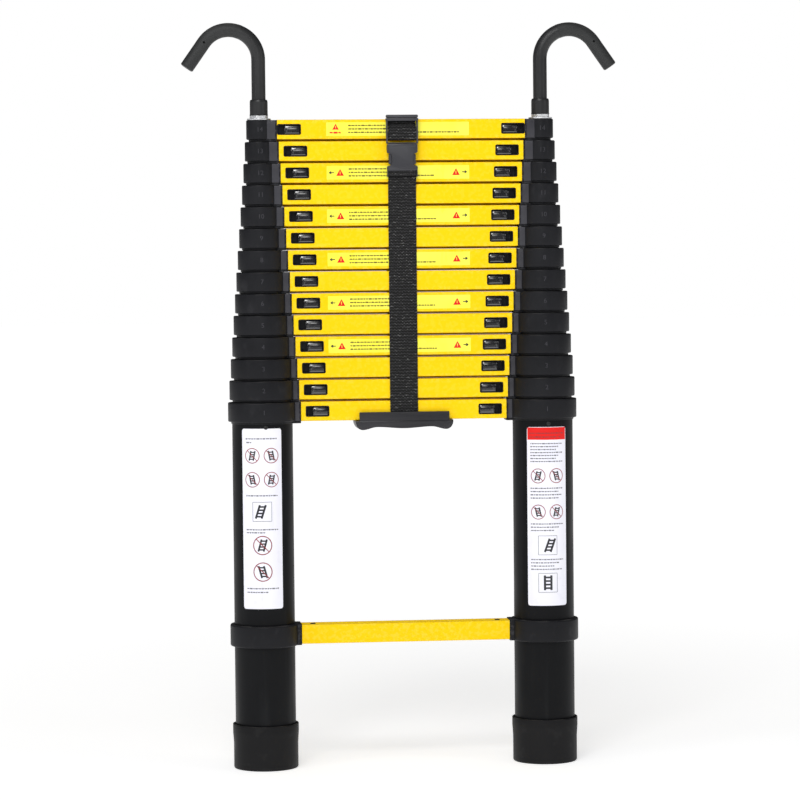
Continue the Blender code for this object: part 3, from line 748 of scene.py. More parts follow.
@dataclass(frozen=True)
class Layout:
    """Places read from the frame and the step sizes of the nested sections."""

    sections: int = 14
    tube_radius: float = 0.0407
    tube_step: float = 0.00215
    tube_wall: float = 0.00145
    collar_half: float = 0.0129
    neck_lip: float = 0.0012
    neck_bottom: float = 0.0158
    gap: float = 0.0003

    @property
    def column_x(self) -> float:
        """Distance of each column's axis from the middle."""
        low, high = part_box("hook_nut_right")
        return (low[0] + high[0]) / 2

    def rung_box(self, number: int) -> tuple[Vector, Vector]:
        """Return the lowest and highest corners of a rung."""
        low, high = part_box(f"rung_{number:02d}")
        return Vector(low), Vector(high)

    def height(self, section: int) -> float:
        """Return the height of the middle of a section's rung."""
        low, high = self.rung_box(section + 1)
        return (low.z + high.z) / 2

    def reach(self, section: int) -> float:
        """Return the distance from a column's axis to the end face of the section's rung."""
        return self.column_x - self.rung_box(section + 1)[1].x

    def tube(self, section: int) -> float:
        """Return the outer radius of a section's tubes."""
        return self.tube_radius - self.tube_step * (section - 1)

    def collar(self, section: int) -> float:
        """Return the outer radius of a section's collars."""
        low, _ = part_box(f"stile_{section:02d}_left")
        return -low[0] - self.column_x

    def body(self, section: int) -> str:
        """Return the name of the body that a section belongs to."""
        return "base" if section == 1 else f"section_{section:02d}"


LAYOUT = Layout()


# ---------------------------------------------------------------------------------------------------
# Tubes and collars
# ---------------------------------------------------------------------------------------------------


@dataclass
class Stile:
    """One tube with its moulded collar, arm, latch pocket and raised section number."""

    section: int
    side: Side
    edge_round: float = 0.0016
    arm_round: float = 0.0012
    flange: float = 0.0016
    digit_height: float = 0.0088
    digit_relief: float = 0.00040
    window_margin: float = 0.006
    window_length: float = 0.032
    window_height: float = 0.0147
    pocket_depth: float = 0.0085

    def across(self, distance: float) -> float:
        """Return X of a point a distance inboard of the column's axis."""
        return self.side.value * (LAYOUT.column_x - distance)

    @property
    def window_start(self) -> float:
        """Distance from the column's axis to the near end of the latch window."""
        margin = 0.0 if self.section == LAYOUT.sections else self.window_margin
        return LAYOUT.reach(self.section) + margin

    def build(self) -> bpy.types.Object:
        """Build the stile and return it."""
        low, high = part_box(f"stile_{self.section:02d}_{self.side.word}")
        shape = Shaper(f"stile_{self.section:02d}_{self.side.word}_looks", TUBE_PAINT, COLLAR_NYLON,
                       PAINTED_HIGHLIGHT_NYLON)
        self.tube(shape, low[2], high[2])
        self.collar(shape, high[2])
        self.arm(shape)
        self.pocket(shape)
        self.number(shape)
        piece = shape.done()
        place_piece(piece, LAYOUT.body(self.section), "black_painted_alloy",
                    f"stile_{self.section:02d}_{self.side.word}")
        return piece

    def tube(self, shape: Shaper, bottom: float, top: float) -> None:
        """Add the tube's thin wall from its lower end to the collar."""
        outer = LAYOUT.tube(self.section)
        inner = outer - LAYOUT.tube_wall
        head = top - 0.004
        profile = rounded([(inner, bottom, 0.0004), (outer, bottom, 0.0004), (outer, head, 0.0),
                           (inner, head, 0.0)], 2)
        shape.lathe(profile, (self.across(0.0), 0.0, 0.0), 72, 0)

    def collar(self, shape: Shaper, top: float) -> None:
        """Add the collar's ring with rounded rims, its lower neck and the top lip round the bore."""
        middle = LAYOUT.height(self.section)
        ring = LAYOUT.collar(self.section)
        neck = LAYOUT.tube(self.section) + LAYOUT.neck_lip
        bore = LAYOUT.tube(self.section) - LAYOUT.tube_wall
        base, foot = middle - LAYOUT.collar_half, middle - LAYOUT.neck_bottom
        edge = self.edge_round
        inner = 0.0064 if self.section == LAYOUT.sections else bore
        corners = [
            (inner, foot + 0.001, 0.0), (neck, foot, 0.0006), (neck, base, 0.0004), (ring, base, edge),
            (ring, top, edge), (inner + (ring - inner) * 0.30, top, 0.0006),
            (inner + (ring - inner) * 0.26, top - 0.0007, 0.0004), (inner, top - 0.0007, 0.0),
        ]
        shape.lathe(rounded(corners, 4), (self.across(0.0), 0.0, 0.0), 72, 1)

    def arm(self, shape: Shaper) -> None:
        """Add the arm from the ring to the rung, and the flange that the rung's end sits on."""
        middle = LAYOUT.height(self.section)
        reach = LAYOUT.reach(self.section)
        depth = 0.0150
        bore = LAYOUT.tube(self.section) - LAYOUT.tube_wall
        start = math.sqrt(max(bore * bore - depth * depth, 0.0)) if bore > depth else 0.0
        start = max(start, bore * 0.72) + 0.0006
        ends = sorted((self.across(start + 0.002), self.across(reach - 0.0004)))
        # The arm's front body takes slot 2, the lighter nylon: a painted highlight.
        self.arm_block(shape, (ends[0], -depth, middle - 0.0128), (ends[1], depth, middle + 0.0126), 2)
        recess = depth - 0.0022
        ends = sorted((self.across(start + 0.002), self.across(reach)))
        self.arm_block(shape, (ends[0], -recess, middle - 0.0160), (ends[1], recess, middle - 0.0120), 1)
        rim = sorted((self.across(reach - self.flange - 0.0012), self.across(reach - 0.0002)))
        shape.block((rim[0], -depth - 0.0001, middle - 0.0132), (rim[1], depth + 0.0001, middle + 0.0127),
                    0.0007, 1)

    def arm_block(self, shape: Shaper, low: Corner, high: Corner, slot: int) -> None:
        """Add the arm's body, split round the bore so that the tubes inside stay clear."""
        bore = LAYOUT.tube(self.section) - LAYOUT.tube_wall + 0.0004
        inner_edge = high[0] if self.side is Side.LEFT else low[0]
        axis = self.across(0.0)
        outline: list[Corner] = []
        half = high[1]
        reach_angle = math.asin(min(half / (bore + 0.002), 1.0))
        steps = 9
        for step in range(steps + 1):
            angle = -reach_angle + 2 * reach_angle * step / steps
            x = axis - self.side.value * (bore + 0.0015) * math.cos(angle)
            outline.append((x, (bore + 0.0015) * math.sin(angle), 0.0))
        outline += [(inner_edge, half, self.arm_round), (inner_edge, -half, self.arm_round)]
        middle = (low[2] + high[2]) / 2
        shape.prism(rounded(outline, 3), high[2] - low[2], Matrix.Translation((0.0, 0.0, middle)), slot,
                    0.0009)

    def pocket(self, shape: Shaper) -> None:
        """Add the insert behind the rung's window: a rim, four walls, a floor and a spring fin."""
        middle = LAYOUT.height(self.section)
        start, end = self.window_start, self.window_start + self.window_length
        left, right = sorted((self.across(start), self.across(end)))
        centre_x = (left + right) / 2
        upright = Matrix.Rotation(math.pi / 2, 4, "X")
        outer = rounded(box_corners(self.window_length - 0.0004, self.window_height - 0.0004, 0.0023), 4)
        inner = rounded(box_corners(self.window_length - 0.0024, self.window_height - 0.0022, 0.0016), 4)
        front, back = -0.01535, -0.0150 + self.pocket_depth
        loops = []
        for outline, depth in ((outer, back + 0.001), (outer, front + 0.0004), (outer, front), (inner, front),
                               (inner, back)):
            pull = 0.97 if depth == front and outline is outer else 1.0
            points = [upright @ Vector((x * pull, y * pull, 0.0)) for x, y in outline]
            loops.append([shape.cage.verts.new(p + Vector((centre_x, depth, middle))) for p in points])
        faces = [shape.cage.faces.new(loops[0]), shape.cage.faces.new(loops[-1])]
        for low, high in zip(loops, loops[1:]):
            for index in range(len(low)):
                after = (index + 1) % len(low)
                faces.append(shape.cage.faces.new((low[index], low[after], high[after], high[index])))
        shape.close(faces, 1)
        fin_x = self.across(start + 0.0042)
        fin = self.window_height / 2 - 0.0018
        shape.block((fin_x - 0.0005, back - 0.0004, middle - fin),
                    (fin_x + 0.0005, back + 0.0004, middle + fin),
                    0.0003, 1)

    def number(self, shape: Shaper) -> None:
        """Add the section's number as low relief on the front of the collar."""
        text = bpy.data.curves.new("collar_number", "FONT")
        text.body = str(self.section)
        text.size = self.digit_height
        text.align_x = "CENTER"
        text.align_y = "CENTER"
        text.extrude = self.digit_relief
        text.resolution_u = 3
        holder = bpy.data.objects.new("collar_number", text)
        bpy.context.scene.collection.objects.link(holder)
        bpy.context.view_layer.update()
        seen = holder.evaluated_get(bpy.context.evaluated_depsgraph_get())
        mesh = bpy.data.meshes.new_from_object(seen)
        bpy.data.objects.remove(holder)
        bpy.data.curves.remove(text)
        ring = LAYOUT.collar(self.section)
        axis, middle = self.across(0.0), LAYOUT.height(self.section)

        def wrap(point: Vector) -> Vector:
            """Bend a flat point round the collar's front."""
            angle = point.x / ring
            radius = ring - 0.0001 + point.z
            return Vector((axis + radius * math.sin(angle), -radius * math.cos(angle), middle + point.y))

        # The digits take slot 2, the lighter nylon: a painted highlight that picks them out.
        shape.absorb(mesh, 2, wrap)


# ---------------------------------------------------------------------------------------------------
# Rungs and latches
# ---------------------------------------------------------------------------------------------------


@dataclass
class Rung:
    """Hollow extruded rung with a grooved tread and rounded window cut-outs."""

    number: int
    wall: float = 0.0016
    corner: float = 0.0022
    groove_count: int = 7
    groove_depth: float = 0.0005
    window_length: float = 0.032
    window_height: float = 0.0147
    lip_height: float = 0.0026

    def section_outline(self, low: Vector, high: Vector) -> list[Flat]:
        """Return the outer outline in (depth, height), with the grooves of the tread on top."""
        front, back, base, top = low.y, high.y, low.z, high.z
        corners: list[Corner] = [(front, base, self.corner), (back, base, self.corner),
                                 (back, top, self.corner)]
        pitch = (back - front - 3 * self.corner) / self.groove_count
        across = back - 1.5 * self.corner
        for _ in range(self.groove_count):
            for share, drop in ((0.10, 0.0), (0.30, 1.0), (0.70, 1.0), (0.90, 0.0)):
                corners.append((across - pitch * share, top - drop * self.groove_depth, 0.0))
            across -= pitch
        corners.append((front, top, self.corner))
        return rounded(corners, 4)

    def build(self) -> bpy.types.Object:
        """Build the rung and return it."""
        low, high = LAYOUT.rung_box(self.number)
        outer = self.section_outline(low, high)
        inset = self.wall + self.groove_depth
        inner = [(low.y + self.wall, low.z + self.wall), (high.y - self.wall, low.z + self.wall),
                 (high.y - self.wall, high.z - inset), (low.y + self.wall, high.z - inset)]
        shape = Shaper(f"rung_{self.number:02d}_looks", RUNG_PAINT)
        cage = shape.cage
        rings = {}
        for key, outline in (("outer", outer), ("inner", inner)):
            for end, x in (("left", low.x), ("right", high.x)):
                rings[key, end] = [cage.verts.new((x, y, z)) for y, z in outline]
            left, right = rings[key, "left"], rings[key, "right"]
            for index in range(len(outline)):
                after = (index + 1) % len(outline)
                cage.faces.new((left[index], left[after], right[after], right[index]))
        for end in ("left", "right"):
            edges = []
            for key in ("outer", "inner"):
                ring = rings[key, end]
                for index in range(len(ring)):
                    pair = (ring[index], ring[(index + 1) % len(ring)])
                    edges.append(cage.edges.get(pair))
            bmesh.ops.triangle_fill(cage, use_beauty=True, edges=edges)
        shape.close(cage.faces, 0)
        piece = shape.done(28.0)
        if self.number > 1:
            carve(piece, self.cutters(low))
            piece.data.shade_smooth()
            piece.data.set_sharp_from_angle(angle=math.radians(28.0))
        if self.number > 2:
            piece = self.add_lip(piece)
        place_piece(piece, LAYOUT.body(max(self.number - 1, 1)), "yellow_painted_alloy",
                    f"rung_{self.number:02d}")
        return piece

    def add_lip(self, piece: bpy.types.Object) -> bpy.types.Object:
        """Add the lip under the rung that closes down on the rung below."""
        low, high = LAYOUT.rung_box(self.number)
        mesh = piece.data
        bpy.data.objects.remove(piece)
        shape = Shaper(f"rung_{self.number:02d}_looks", RUNG_PAINT)
        shape.absorb(mesh, 0)
        shape.block((low.x + 0.0002, 0.0045, low.z - self.lip_height),
                    (high.x - 0.0002, 0.0095, low.z + 0.0006),
                    0.0007, 0)
        return shape.done(28.0)

    def cutters(self, low: Vector) -> list[bpy.types.Object]:
        """Return the rounded cutters of the two windows."""
        made = []
        for side in Side:
            stile = Stile(self.number - 1, side)
            middle_x = stile.across(stile.window_start + self.window_length / 2)
            place = Matrix.Translation((middle_x, low.y, LAYOUT.height(self.number - 1)))
            place = place @ Matrix.Rotation(math.pi / 2, 4, "X")
            shape = Shaper("window_cutter", RUNG_PAINT)
            outline = rounded(box_corners(self.window_length, self.window_height, 0.0025), 5)
            shape.prism(outline, 0.0060, place)
            made.append(shape.done())
        return made


@dataclass
class ThumbLatches:
    """The glossy thumb buttons of one rung, each a domed slide with grip ridges."""

    number: int
    length: float = 0.0205
    height: float = 0.0118
    lean: float = 0.0001
    dome: float = 0.0014
    bow: float = 0.0004
    rim_drop: float = 0.0008
    front: float = -0.0149

    def button(self, shape: Shaper, side: Side) -> None:
        """Add one button and its ridges."""
        stile = Stile(self.number - 1, side)
        end = stile.window_start + stile.window_length - 0.0016
        middle_x = stile.across(end - self.length / 2)
        middle_z = LAYOUT.height(self.number - 1)
        rows, columns = 16, 20
        grid = []
        for row in range(rows + 1):
            up = math.sin(math.pi / 2 * (2 * row / rows - 1))
            line = []
            for column in range(columns + 1):
                along = math.sin(math.pi / 2 * (2 * column / columns - 1))
                rim = max(abs(up), abs(along)) ** 14 * self.rim_drop
                x = middle_x + along * self.length / 2
                y = (self.front + self.lean * (up + 1.0) + self.dome * max(up, 0.0) ** 2
                     + self.bow * along * along + rim)
                line.append(shape.cage.verts.new((x, y, middle_z + up * self.height / 2)))
            grid.append(line)
        faces = []
        for low, high in zip(grid, grid[1:]):
            for index in range(columns):
                faces.append(shape.cage.faces.new((low[index], low[index + 1], high[index + 1], high[index])))
        right_side = [line[-1] for line in grid[1:-1]]
        left_side = [line[0] for line in grid[-2:0:-1]]
        rim = grid[0] + right_side + grid[-1][::-1] + left_side
        back = [shape.cage.verts.new((v.co.x, self.front + 0.0078, v.co.z)) for v in rim]
        for index in range(len(rim)):
            after = (index + 1) % len(rim)
            faces.append(shape.cage.faces.new((rim[index], rim[after], back[after], back[index])))
        faces.append(shape.cage.faces.new(back))
        shape.close(faces, 0)
        ridge_x = stile.across(end - self.length + 0.0030)
        for step in range(3):
            x = ridge_x - side.value * 0.0016 * step
            half = self.height / 2 - 0.0026
            shape.block((x - 0.0004, self.front + 0.0002, middle_z - half),
                        (x + 0.0004, self.front + 0.003, middle_z + half),
                        0.00025, 0)

    def build(self) -> None:
        """Build the rung's buttons: one piece each where they slide, else one piece for both."""
        moving = any(node == f"latch_{self.number:02d}_left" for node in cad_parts)
        if moving:
            for side in Side:
                shape = Shaper(f"latch_{self.number:02d}_{side.word}_looks", BUTTON_NYLON)
                self.button(shape, side)
                node = f"latch_{self.number:02d}_{side.word}"
                place_piece(shape.done(40.0), "thumb_" + node, "black_nylon", node)
            return
        shape = Shaper(f"latches_{self.number:02d}_looks", BUTTON_NYLON)
        for side in Side:
            self.button(shape, side)
        place_piece(shape.done(40.0), LAYOUT.body(self.number - 1), "black_nylon")


# ---------------------------------------------------------------------------------------------------
# Brackets, feet and hooks
# ---------------------------------------------------------------------------------------------------


@dataclass
class BottomRungBracket:
    """Moulded clamp round the outer tube that carries the bottom rung, with its screw."""

    side: Side
    depth: float = 0.0160

    def build(self) -> bpy.types.Object:
        """Build the bracket and return it."""
        low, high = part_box(f"bottom_bracket_{self.side.word}")
        axis = self.side.value * LAYOUT.column_x
        radius = (high[1] - low[1]) / 2
        bore = LAYOUT.tube(1) + LAYOUT.gap
        base, top = low[2], high[2]
        shape = Shaper(f"bottom_bracket_{self.side.word}_looks", COLLAR_NYLON, HOOK_STEEL)
        profile = rounded([(bore, base, 0.0005), (radius, base, 0.0026), (radius, top, 0.0026),
                           (bore, top, 0.0005)], 5)
        shape.lathe(profile, (axis, 0.0, 0.0), 80, 0)
        end = LAYOUT.rung_box(1)[0 if self.side is Side.LEFT else 1].x
        outline: list[Corner] = []
        steps = 9
        spread = math.asin(self.depth / (bore + 0.0012))
        for step in range(steps + 1):
            angle = -spread + 2 * spread * step / steps
            reach = bore + 0.0012
            outline.append((axis - self.side.value * reach * math.cos(angle), reach * math.sin(angle), 0.0))
        tip = end - self.side.value * -0.0002
        outline += [(tip, self.depth, 0.0012), (tip, -self.depth, 0.0012)]
        middle = (base + top) / 2
        place = Matrix.Translation((0.0, 0.0, middle))
        shape.prism(rounded(outline, 3), top - base - 0.0006, place, 0, 0.0010)
        rows = RepeatedRow(
            f"clamp_bolts_{self.side.word}", UnitShape.STUD, HOOK_STEEL,
            Vector((axis, radius - 0.0004, middle - 0.0075)),
            Vector((0.0, 0.0, 0.015)), 2,
            Vector((0.0060, 0.0060, 0.0016)), turn=Vector((math.pi / 2, 0.0, 0.0)),
        )
        shape.absorb(rows.mesh(), 1)
        piece = shape.done()
        place_piece(piece, "base", "black_nylon", f"bottom_bracket_{self.side.word}")
        return piece


@dataclass
class RubberFoot:
    """Rubber foot: a rounded cup with a rim, a waist groove and a studded sole."""

    side: Side

    def build(self) -> bpy.types.Object:
        """Build the foot and return it."""
        low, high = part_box(f"foot_{self.side.word}")
        axis = self.side.value * LAYOUT.column_x
        radius = (high[1] - low[1]) / 2
        bore = LAYOUT.tube(1) + LAYOUT.gap
        top = high[2]
        sole = 0.0016
        corners = [
            (0.0, sole, 0.0), (radius - 0.009, sole, 0.0), (radius - 0.009, 0.0, 0.0006),
            (radius - 0.0022, 0.0, 0.0008),
            (radius - 0.0010, 0.0016, 0.0010), (radius - 0.0010, 0.0340, 0.0), (radius, top - 0.0110, 0.0020),
            (radius, top, 0.0022), (bore + 0.0012, top, 0.0008), (bore, top - 0.0020, 0.0006),
            (bore, 0.0145, 0.0),
            (0.0, 0.0145, 0.0),
        ]
        shape = Shaper(f"foot_{self.side.word}_looks", FOOT_RUBBER)
        shape.lathe(rounded(corners, 4), (axis, 0.0, 0.0), 80, 0)
        rows = RepeatedRow(
            f"sole_studs_{self.side.word}", UnitShape.STUD, FOOT_RUBBER,
            Vector((axis - 0.0225, -0.0225, sole / 2)),
            Vector((0.009, 0.0, 0.0)), 6, Vector((0.0055, 0.0055, sole)),
            second_step=Vector((0.0, 0.009, 0.0)), second_count=6,
        )
        shape.absorb(rows.mesh(), 0)
        piece = shape.done()
        place_piece(piece, "base", "black_rubber", f"foot_{self.side.word}")
        return piece


@dataclass
class Hook:
    """Bent steel hook: coupler, stem, bend and a rubber sleeve on the outer half with its cross hole."""

    side: Side
    rod: float = 0.0093
    sleeve: float = 0.0094
    stem: float = 0.0533
    bend: float = 0.0398
    sweep: float = math.radians(145)
    sleeve_start: float = math.radians(68)
    tail: float = 0.041
    coupler_height: float = 0.021
    stud: float = 0.0058
    hole: float = 0.0016

    def point(self, base: float, distance: float) -> Vector:
        """Return the point of the rod's line a distance along it from the coupler's top."""
        out, up = 0.0, distance
        bend_length = self.bend * self.sweep
        if distance > self.stem:
            angle = min((distance - self.stem) / self.bend, self.sweep)
            out = self.bend * (1 - math.cos(angle))
            up = self.stem + self.bend * math.sin(angle)
            beyond = distance - self.stem - bend_length
            if beyond > 0:
                out += beyond * math.sin(self.sweep)
                up += beyond * math.cos(self.sweep)
        return Vector((self.side.value * (LAYOUT.column_x + out), 0.0, base + up))

    def run(self, base: float, start: float, end: float, step: float) -> list[Vector]:
        """Return points of the rod's line between two distances, about a step apart."""
        count = max(2, round((end - start) / step))
        return [self.point(base, start + (end - start) * index / count) for index in range(count + 1)]

    def build(self) -> bpy.types.Object:
        """Build the hook and return it."""
        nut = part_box(f"hook_nut_{self.side.word}")
        bottom = nut[1][2] + LAYOUT.gap
        base = bottom + self.coupler_height
        side = Vector((0.0, 1.0, 0.0))
        total = self.stem + self.bend * self.sweep + self.tail
        covered = self.stem + self.bend * self.sleeve_start
        path = self.run(base, covered, total, 0.0030)
        radii = [self.sleeve] * len(path)
        radii[0] = self.rod + 0.0002
        ends = [self.point(base, total) + (path[-1] - path[-2]).normalized() * move
                for move in (-0.0016, -0.0007)]
        path[-1:] = [ends[0], ends[1], path[-1]]
        radii[-1:] = [self.sleeve, self.sleeve - 0.0004, self.sleeve - 0.0015]
        outer = Shaper("hook_sleeve", SLEEVE_RUBBER)
        outer.sweep(path, radii, side, 40, 0)
        sleeve = outer.done()
        hole = self.point(base, self.stem + self.bend * self.sweep)
        drill = Shaper("hook_hole", INK_BLACK)
        outline = [(self.hole * math.cos(a * math.pi / 8), self.hole * math.sin(a * math.pi / 8))
                   for a in range(16)]
        lying = Matrix.Rotation(math.pi / 2, 4, "X")
        drill.prism(outline, 0.016, Matrix.Translation(hole - side * 0.012) @ lying)
        carve(sleeve, [drill.done()])
        shape = Shaper(f"hook_{self.side.word}_looks", HOOK_STEEL, SLEEVE_RUBBER)
        mesh = sleeve.data
        bpy.data.objects.remove(sleeve)
        shape.absorb(mesh, 1)
        path = self.run(base, -0.001, covered + 0.006, 0.0030)
        shape.sweep(path, [self.rod] * len(path), side, 40, 0)
        corners = [
            (0.0, base, 0.0), (0.0112, base, 0.0012), (0.0120, base - 0.0030, 0.0008),
            (0.0120, bottom + 0.0012, 0.0),
            (0.01245, bottom + 0.0008, 0.0), (0.01245, bottom, 0.0004), (self.stud, bottom, 0.0),
            (self.stud, bottom - 0.012, 0.0006), (0.0, bottom - 0.012, 0.0),
        ]
        axis = self.side.value * LAYOUT.column_x
        shape.lathe(rounded(corners, 4), (axis, 0.0, 0.0), 56, 0)
        piece = shape.done()
        place_piece(piece, f"{self.side.word}_hook", "black_coated_steel", f"hook_{self.side.word}")
        return piece


@dataclass
class LockNut:
    """Plated hexagonal nut on a washer, between a top collar and a hook's coupler."""

    side: Side
    bore: float = 0.0066
    washer: float = 0.0159
    washer_height: float = 0.0018
    corners: float = 0.0128
    turn: float = math.radians(12)

    def build(self) -> bpy.types.Object:
        """Build the nut and return it."""
        low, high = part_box(f"hook_nut_{self.side.word}")
        axis = self.side.value * LAYOUT.column_x
        base, top = low[2], high[2]
        shape = Shaper(f"hook_nut_{self.side.word}_looks", ZINC)
        seat = base + self.washer_height
        washer = rounded([(self.bore, base, 0.0), (self.washer, base, 0.0003), (self.washer, seat, 0.0005),
                          (self.bore, seat, 0.0)], 3)
        shape.lathe(washer, (axis, 0.0, 0.0), 56, 0)
        hexagon = [
            (self.corners * math.cos(k * math.pi / 3), self.corners * math.sin(k * math.pi / 3), 0.0006)
            for k in range(6)
        ]
        place = Matrix.Translation((axis, 0.0, (seat + top) / 2)) @ Matrix.Rotation(self.turn, 4, "Z")
        shape.prism(rounded(hexagon, 3), top - base - self.washer_height, place, 0, 0.0005)
        piece = shape.done()
        place_piece(piece, LAYOUT.body(LAYOUT.sections), "zinc_plated_steel", f"hook_nut_{self.side.word}")
        return piece


# ---------------------------------------------------------------------------------------------------
# Strap, buckle and handle
# ---------------------------------------------------------------------------------------------------


class Webbing:
    """Flat webbing along a route of (y, z) points, as a closed band with rounded selvedges."""

    width: float = 0.0376
    thickness: float = 0.0014

    def __init__(self, name: str, route: Sequence[Flat]) -> None:
        """Keep the band's name and its route."""
        self.name = name
        self.route = self.even([Vector(point) for point in route], 0.0020)

    @staticmethod
    def even(points: list[Vector], step: float) -> list[Vector]:
        """Return points about a step apart along a broken line."""
        out = [points[0]]
        for start, end in zip(points, points[1:]):
            count = max(1, round((end - start).length / step))
            out += [start.lerp(end, index / count) for index in range(1, count + 1)]
        return out

    @property
    def length(self) -> float:
        """Length of the band's middle line."""
        return sum((b - a).length for a, b in zip(self.route, self.route[1:]))

    def build(self) -> bpy.types.Object:
        """Build the band with its UV in metres: along, then across."""
        shape = Shaper(self.name, WEBBING)
        cage = shape.cage
        uv = cage.loops.layers.uv.new("webbing")
        half, thick = self.width / 2, self.thickness / 2
        columns = 10
        section = [(-half + 2 * half * k / columns, thick * (0.55 if k in (0, columns) else 1.0), k)
                   for k in range(columns + 1)]
        section += [(x, -t, k) for x, t, k in reversed(section)]
        rings, marks, travelled = [], [], 0.0
        for index, point in enumerate(self.route):
            ahead = self.route[min(index + 1, len(self.route) - 1)]
            behind = self.route[max(index - 1, 0)]
            along = (ahead - behind).normalized()
            normal = Vector((-along.y, along.x))
            travelled += (point - self.route[index - 1]).length if index else 0.0
            ring = []
            for x, t, _ in section:
                place = point + normal * t
                ring.append(cage.verts.new((x, place.x, place.y)))
            rings.append(ring)
            marks.append(travelled)
        faces = []
        for index, (low, high) in enumerate(zip(rings, rings[1:])):
            for corner in range(len(section)):
                after = (corner + 1) % len(section)
                face = cage.faces.new((low[corner], low[after], high[after], high[corner]))
                for loop, (row, column) in zip(face.loops,
                                               ((0, corner), (0, after), (1, after), (1, corner))):
                    loop[uv].uv = (marks[index + row], section[column][0] + half)
                faces.append(face)
        for ring, mark in ((rings[0], marks[0]), (rings[-1], marks[-1])):
            face = cage.faces.new(ring)
            for loop, (x, t, _) in zip(face.loops, section):
                loop[uv].uv = (mark + t, x + half)
            faces.append(face)
        shape.close(faces, 0)
        return shape.done(50.0)


def arc(centre: Flat, radius: float, start: float, end: float, steps: int = 8) -> list[Flat]:
    """Return points of an arc in the (y, z) plane; angles are in degrees."""
    angles = [math.radians(start + (end - start) * step / steps) for step in range(steps + 1)]
    return [(centre[0] + radius * math.cos(a), centre[1] + radius * math.sin(a)) for a in angles]


@dataclass
class Strap:
    """The webbing strap: a lower run on the base and an upper run on the top section."""

    middle: float = 0.0161
    turn: float = 0.0026

    def lower(self) -> None:
        """Build the run from the socket's loop, down the front, through the handle and up the back."""
        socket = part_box("buckle_socket")
        back_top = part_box("strap_lower")[1][2]
        under = LAYOUT.rung_box(2)[0].z - LAYOUT.gap - 0.0008
        bar_y = (socket[0][1] + socket[1][1]) / 2
        bar_z = socket[0][2] + Buckle.rail_drop + 0.0020
        radius = 0.0019
        inset = self.middle - self.turn
        route = [(bar_y - radius, bar_z - 0.0095), (bar_y - radius, bar_z)]
        route += arc((bar_y, bar_z), radius, 180, 0, 6)[1:]
        route += [(bar_y + radius, bar_z - 0.006), (bar_y + radius, bar_z - 0.012)]
        route += [(-self.middle - 0.0016, bar_z - 0.020), (-self.middle, bar_z - 0.030)]
        route += arc((-inset, under + self.turn), self.turn, 180, 270)
        route += arc((inset, under + self.turn), self.turn, 270, 360)
        route.append((self.middle, back_top))
        band = Webbing("strap_lower_looks", route)
        piece = band.build()
        stitches = self.stitches(bar_y - radius - 0.0008, bar_z - 0.0075)
        place_piece(piece, "base", "black_webbing", "strap_lower")
        band.length

    def stitches(self, front: float, height: float) -> bpy.types.Object:
        """Build the rows of stitches that close the loop under the socket."""
        row = RepeatedRow(
            "strap_stitches", UnitShape.STITCH, STITCH_THREAD, Vector((-0.0165, front, height)),
            Vector((0.0030, 0.0, 0.0)), 12, Vector((0.0023, 0.0006, 0.0007)),
            second_step=Vector((0.0, 0.0, 0.0022)), second_count=3,
        )
        shape = Shaper("strap_stitches", STITCH_THREAD)
        shape.absorb(row.mesh(), 0)
        piece = shape.done()
        place_piece(piece, "base", "black_webbing")
        return piece

    def upper(self) -> None:
        """Build the run from the back, over the top rung and round the plug's cross bar."""
        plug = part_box("buckle_plug")
        back_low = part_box("strap_upper")[0][2]
        over = LAYOUT.rung_box(LAYOUT.sections + 1)[1].z + LAYOUT.gap + 0.0008
        inset = self.middle - self.turn
        bar_y = (plug[0][1] + plug[1][1]) / 2
        bar_z = plug[1][2] - 0.0310
        fold = 0.0024
        route = [(self.middle, back_low)]
        route += arc((inset, over - self.turn), self.turn, 0, 90)
        route += arc((-inset, over - self.turn), self.turn, 90, 180)
        route += [(-self.middle - 0.0002, over - 0.0060), (-self.middle - 0.0022, over - 0.0088)]
        route += [(bar_y - fold + 0.0016, over - 0.0112), (bar_y - fold, over - 0.0145)]
        route.append((bar_y - fold, bar_z))
        route += arc((bar_y, bar_z), fold, 180, 360, 8)[1:]
        route.append((bar_y + fold, bar_z + 0.0080))
        band = Webbing("strap_upper_looks", route)
        piece = band.build()
        place_piece(piece, LAYOUT.body(LAYOUT.sections), "black_webbing", "strap_upper")
        band.length


class Names:
    """Names of the pieces that others rest on."""

    @staticmethod
    def rung(number: int) -> str:
        """Return the name of a rung's piece."""
        return f"rung_{number:02d}_looks"


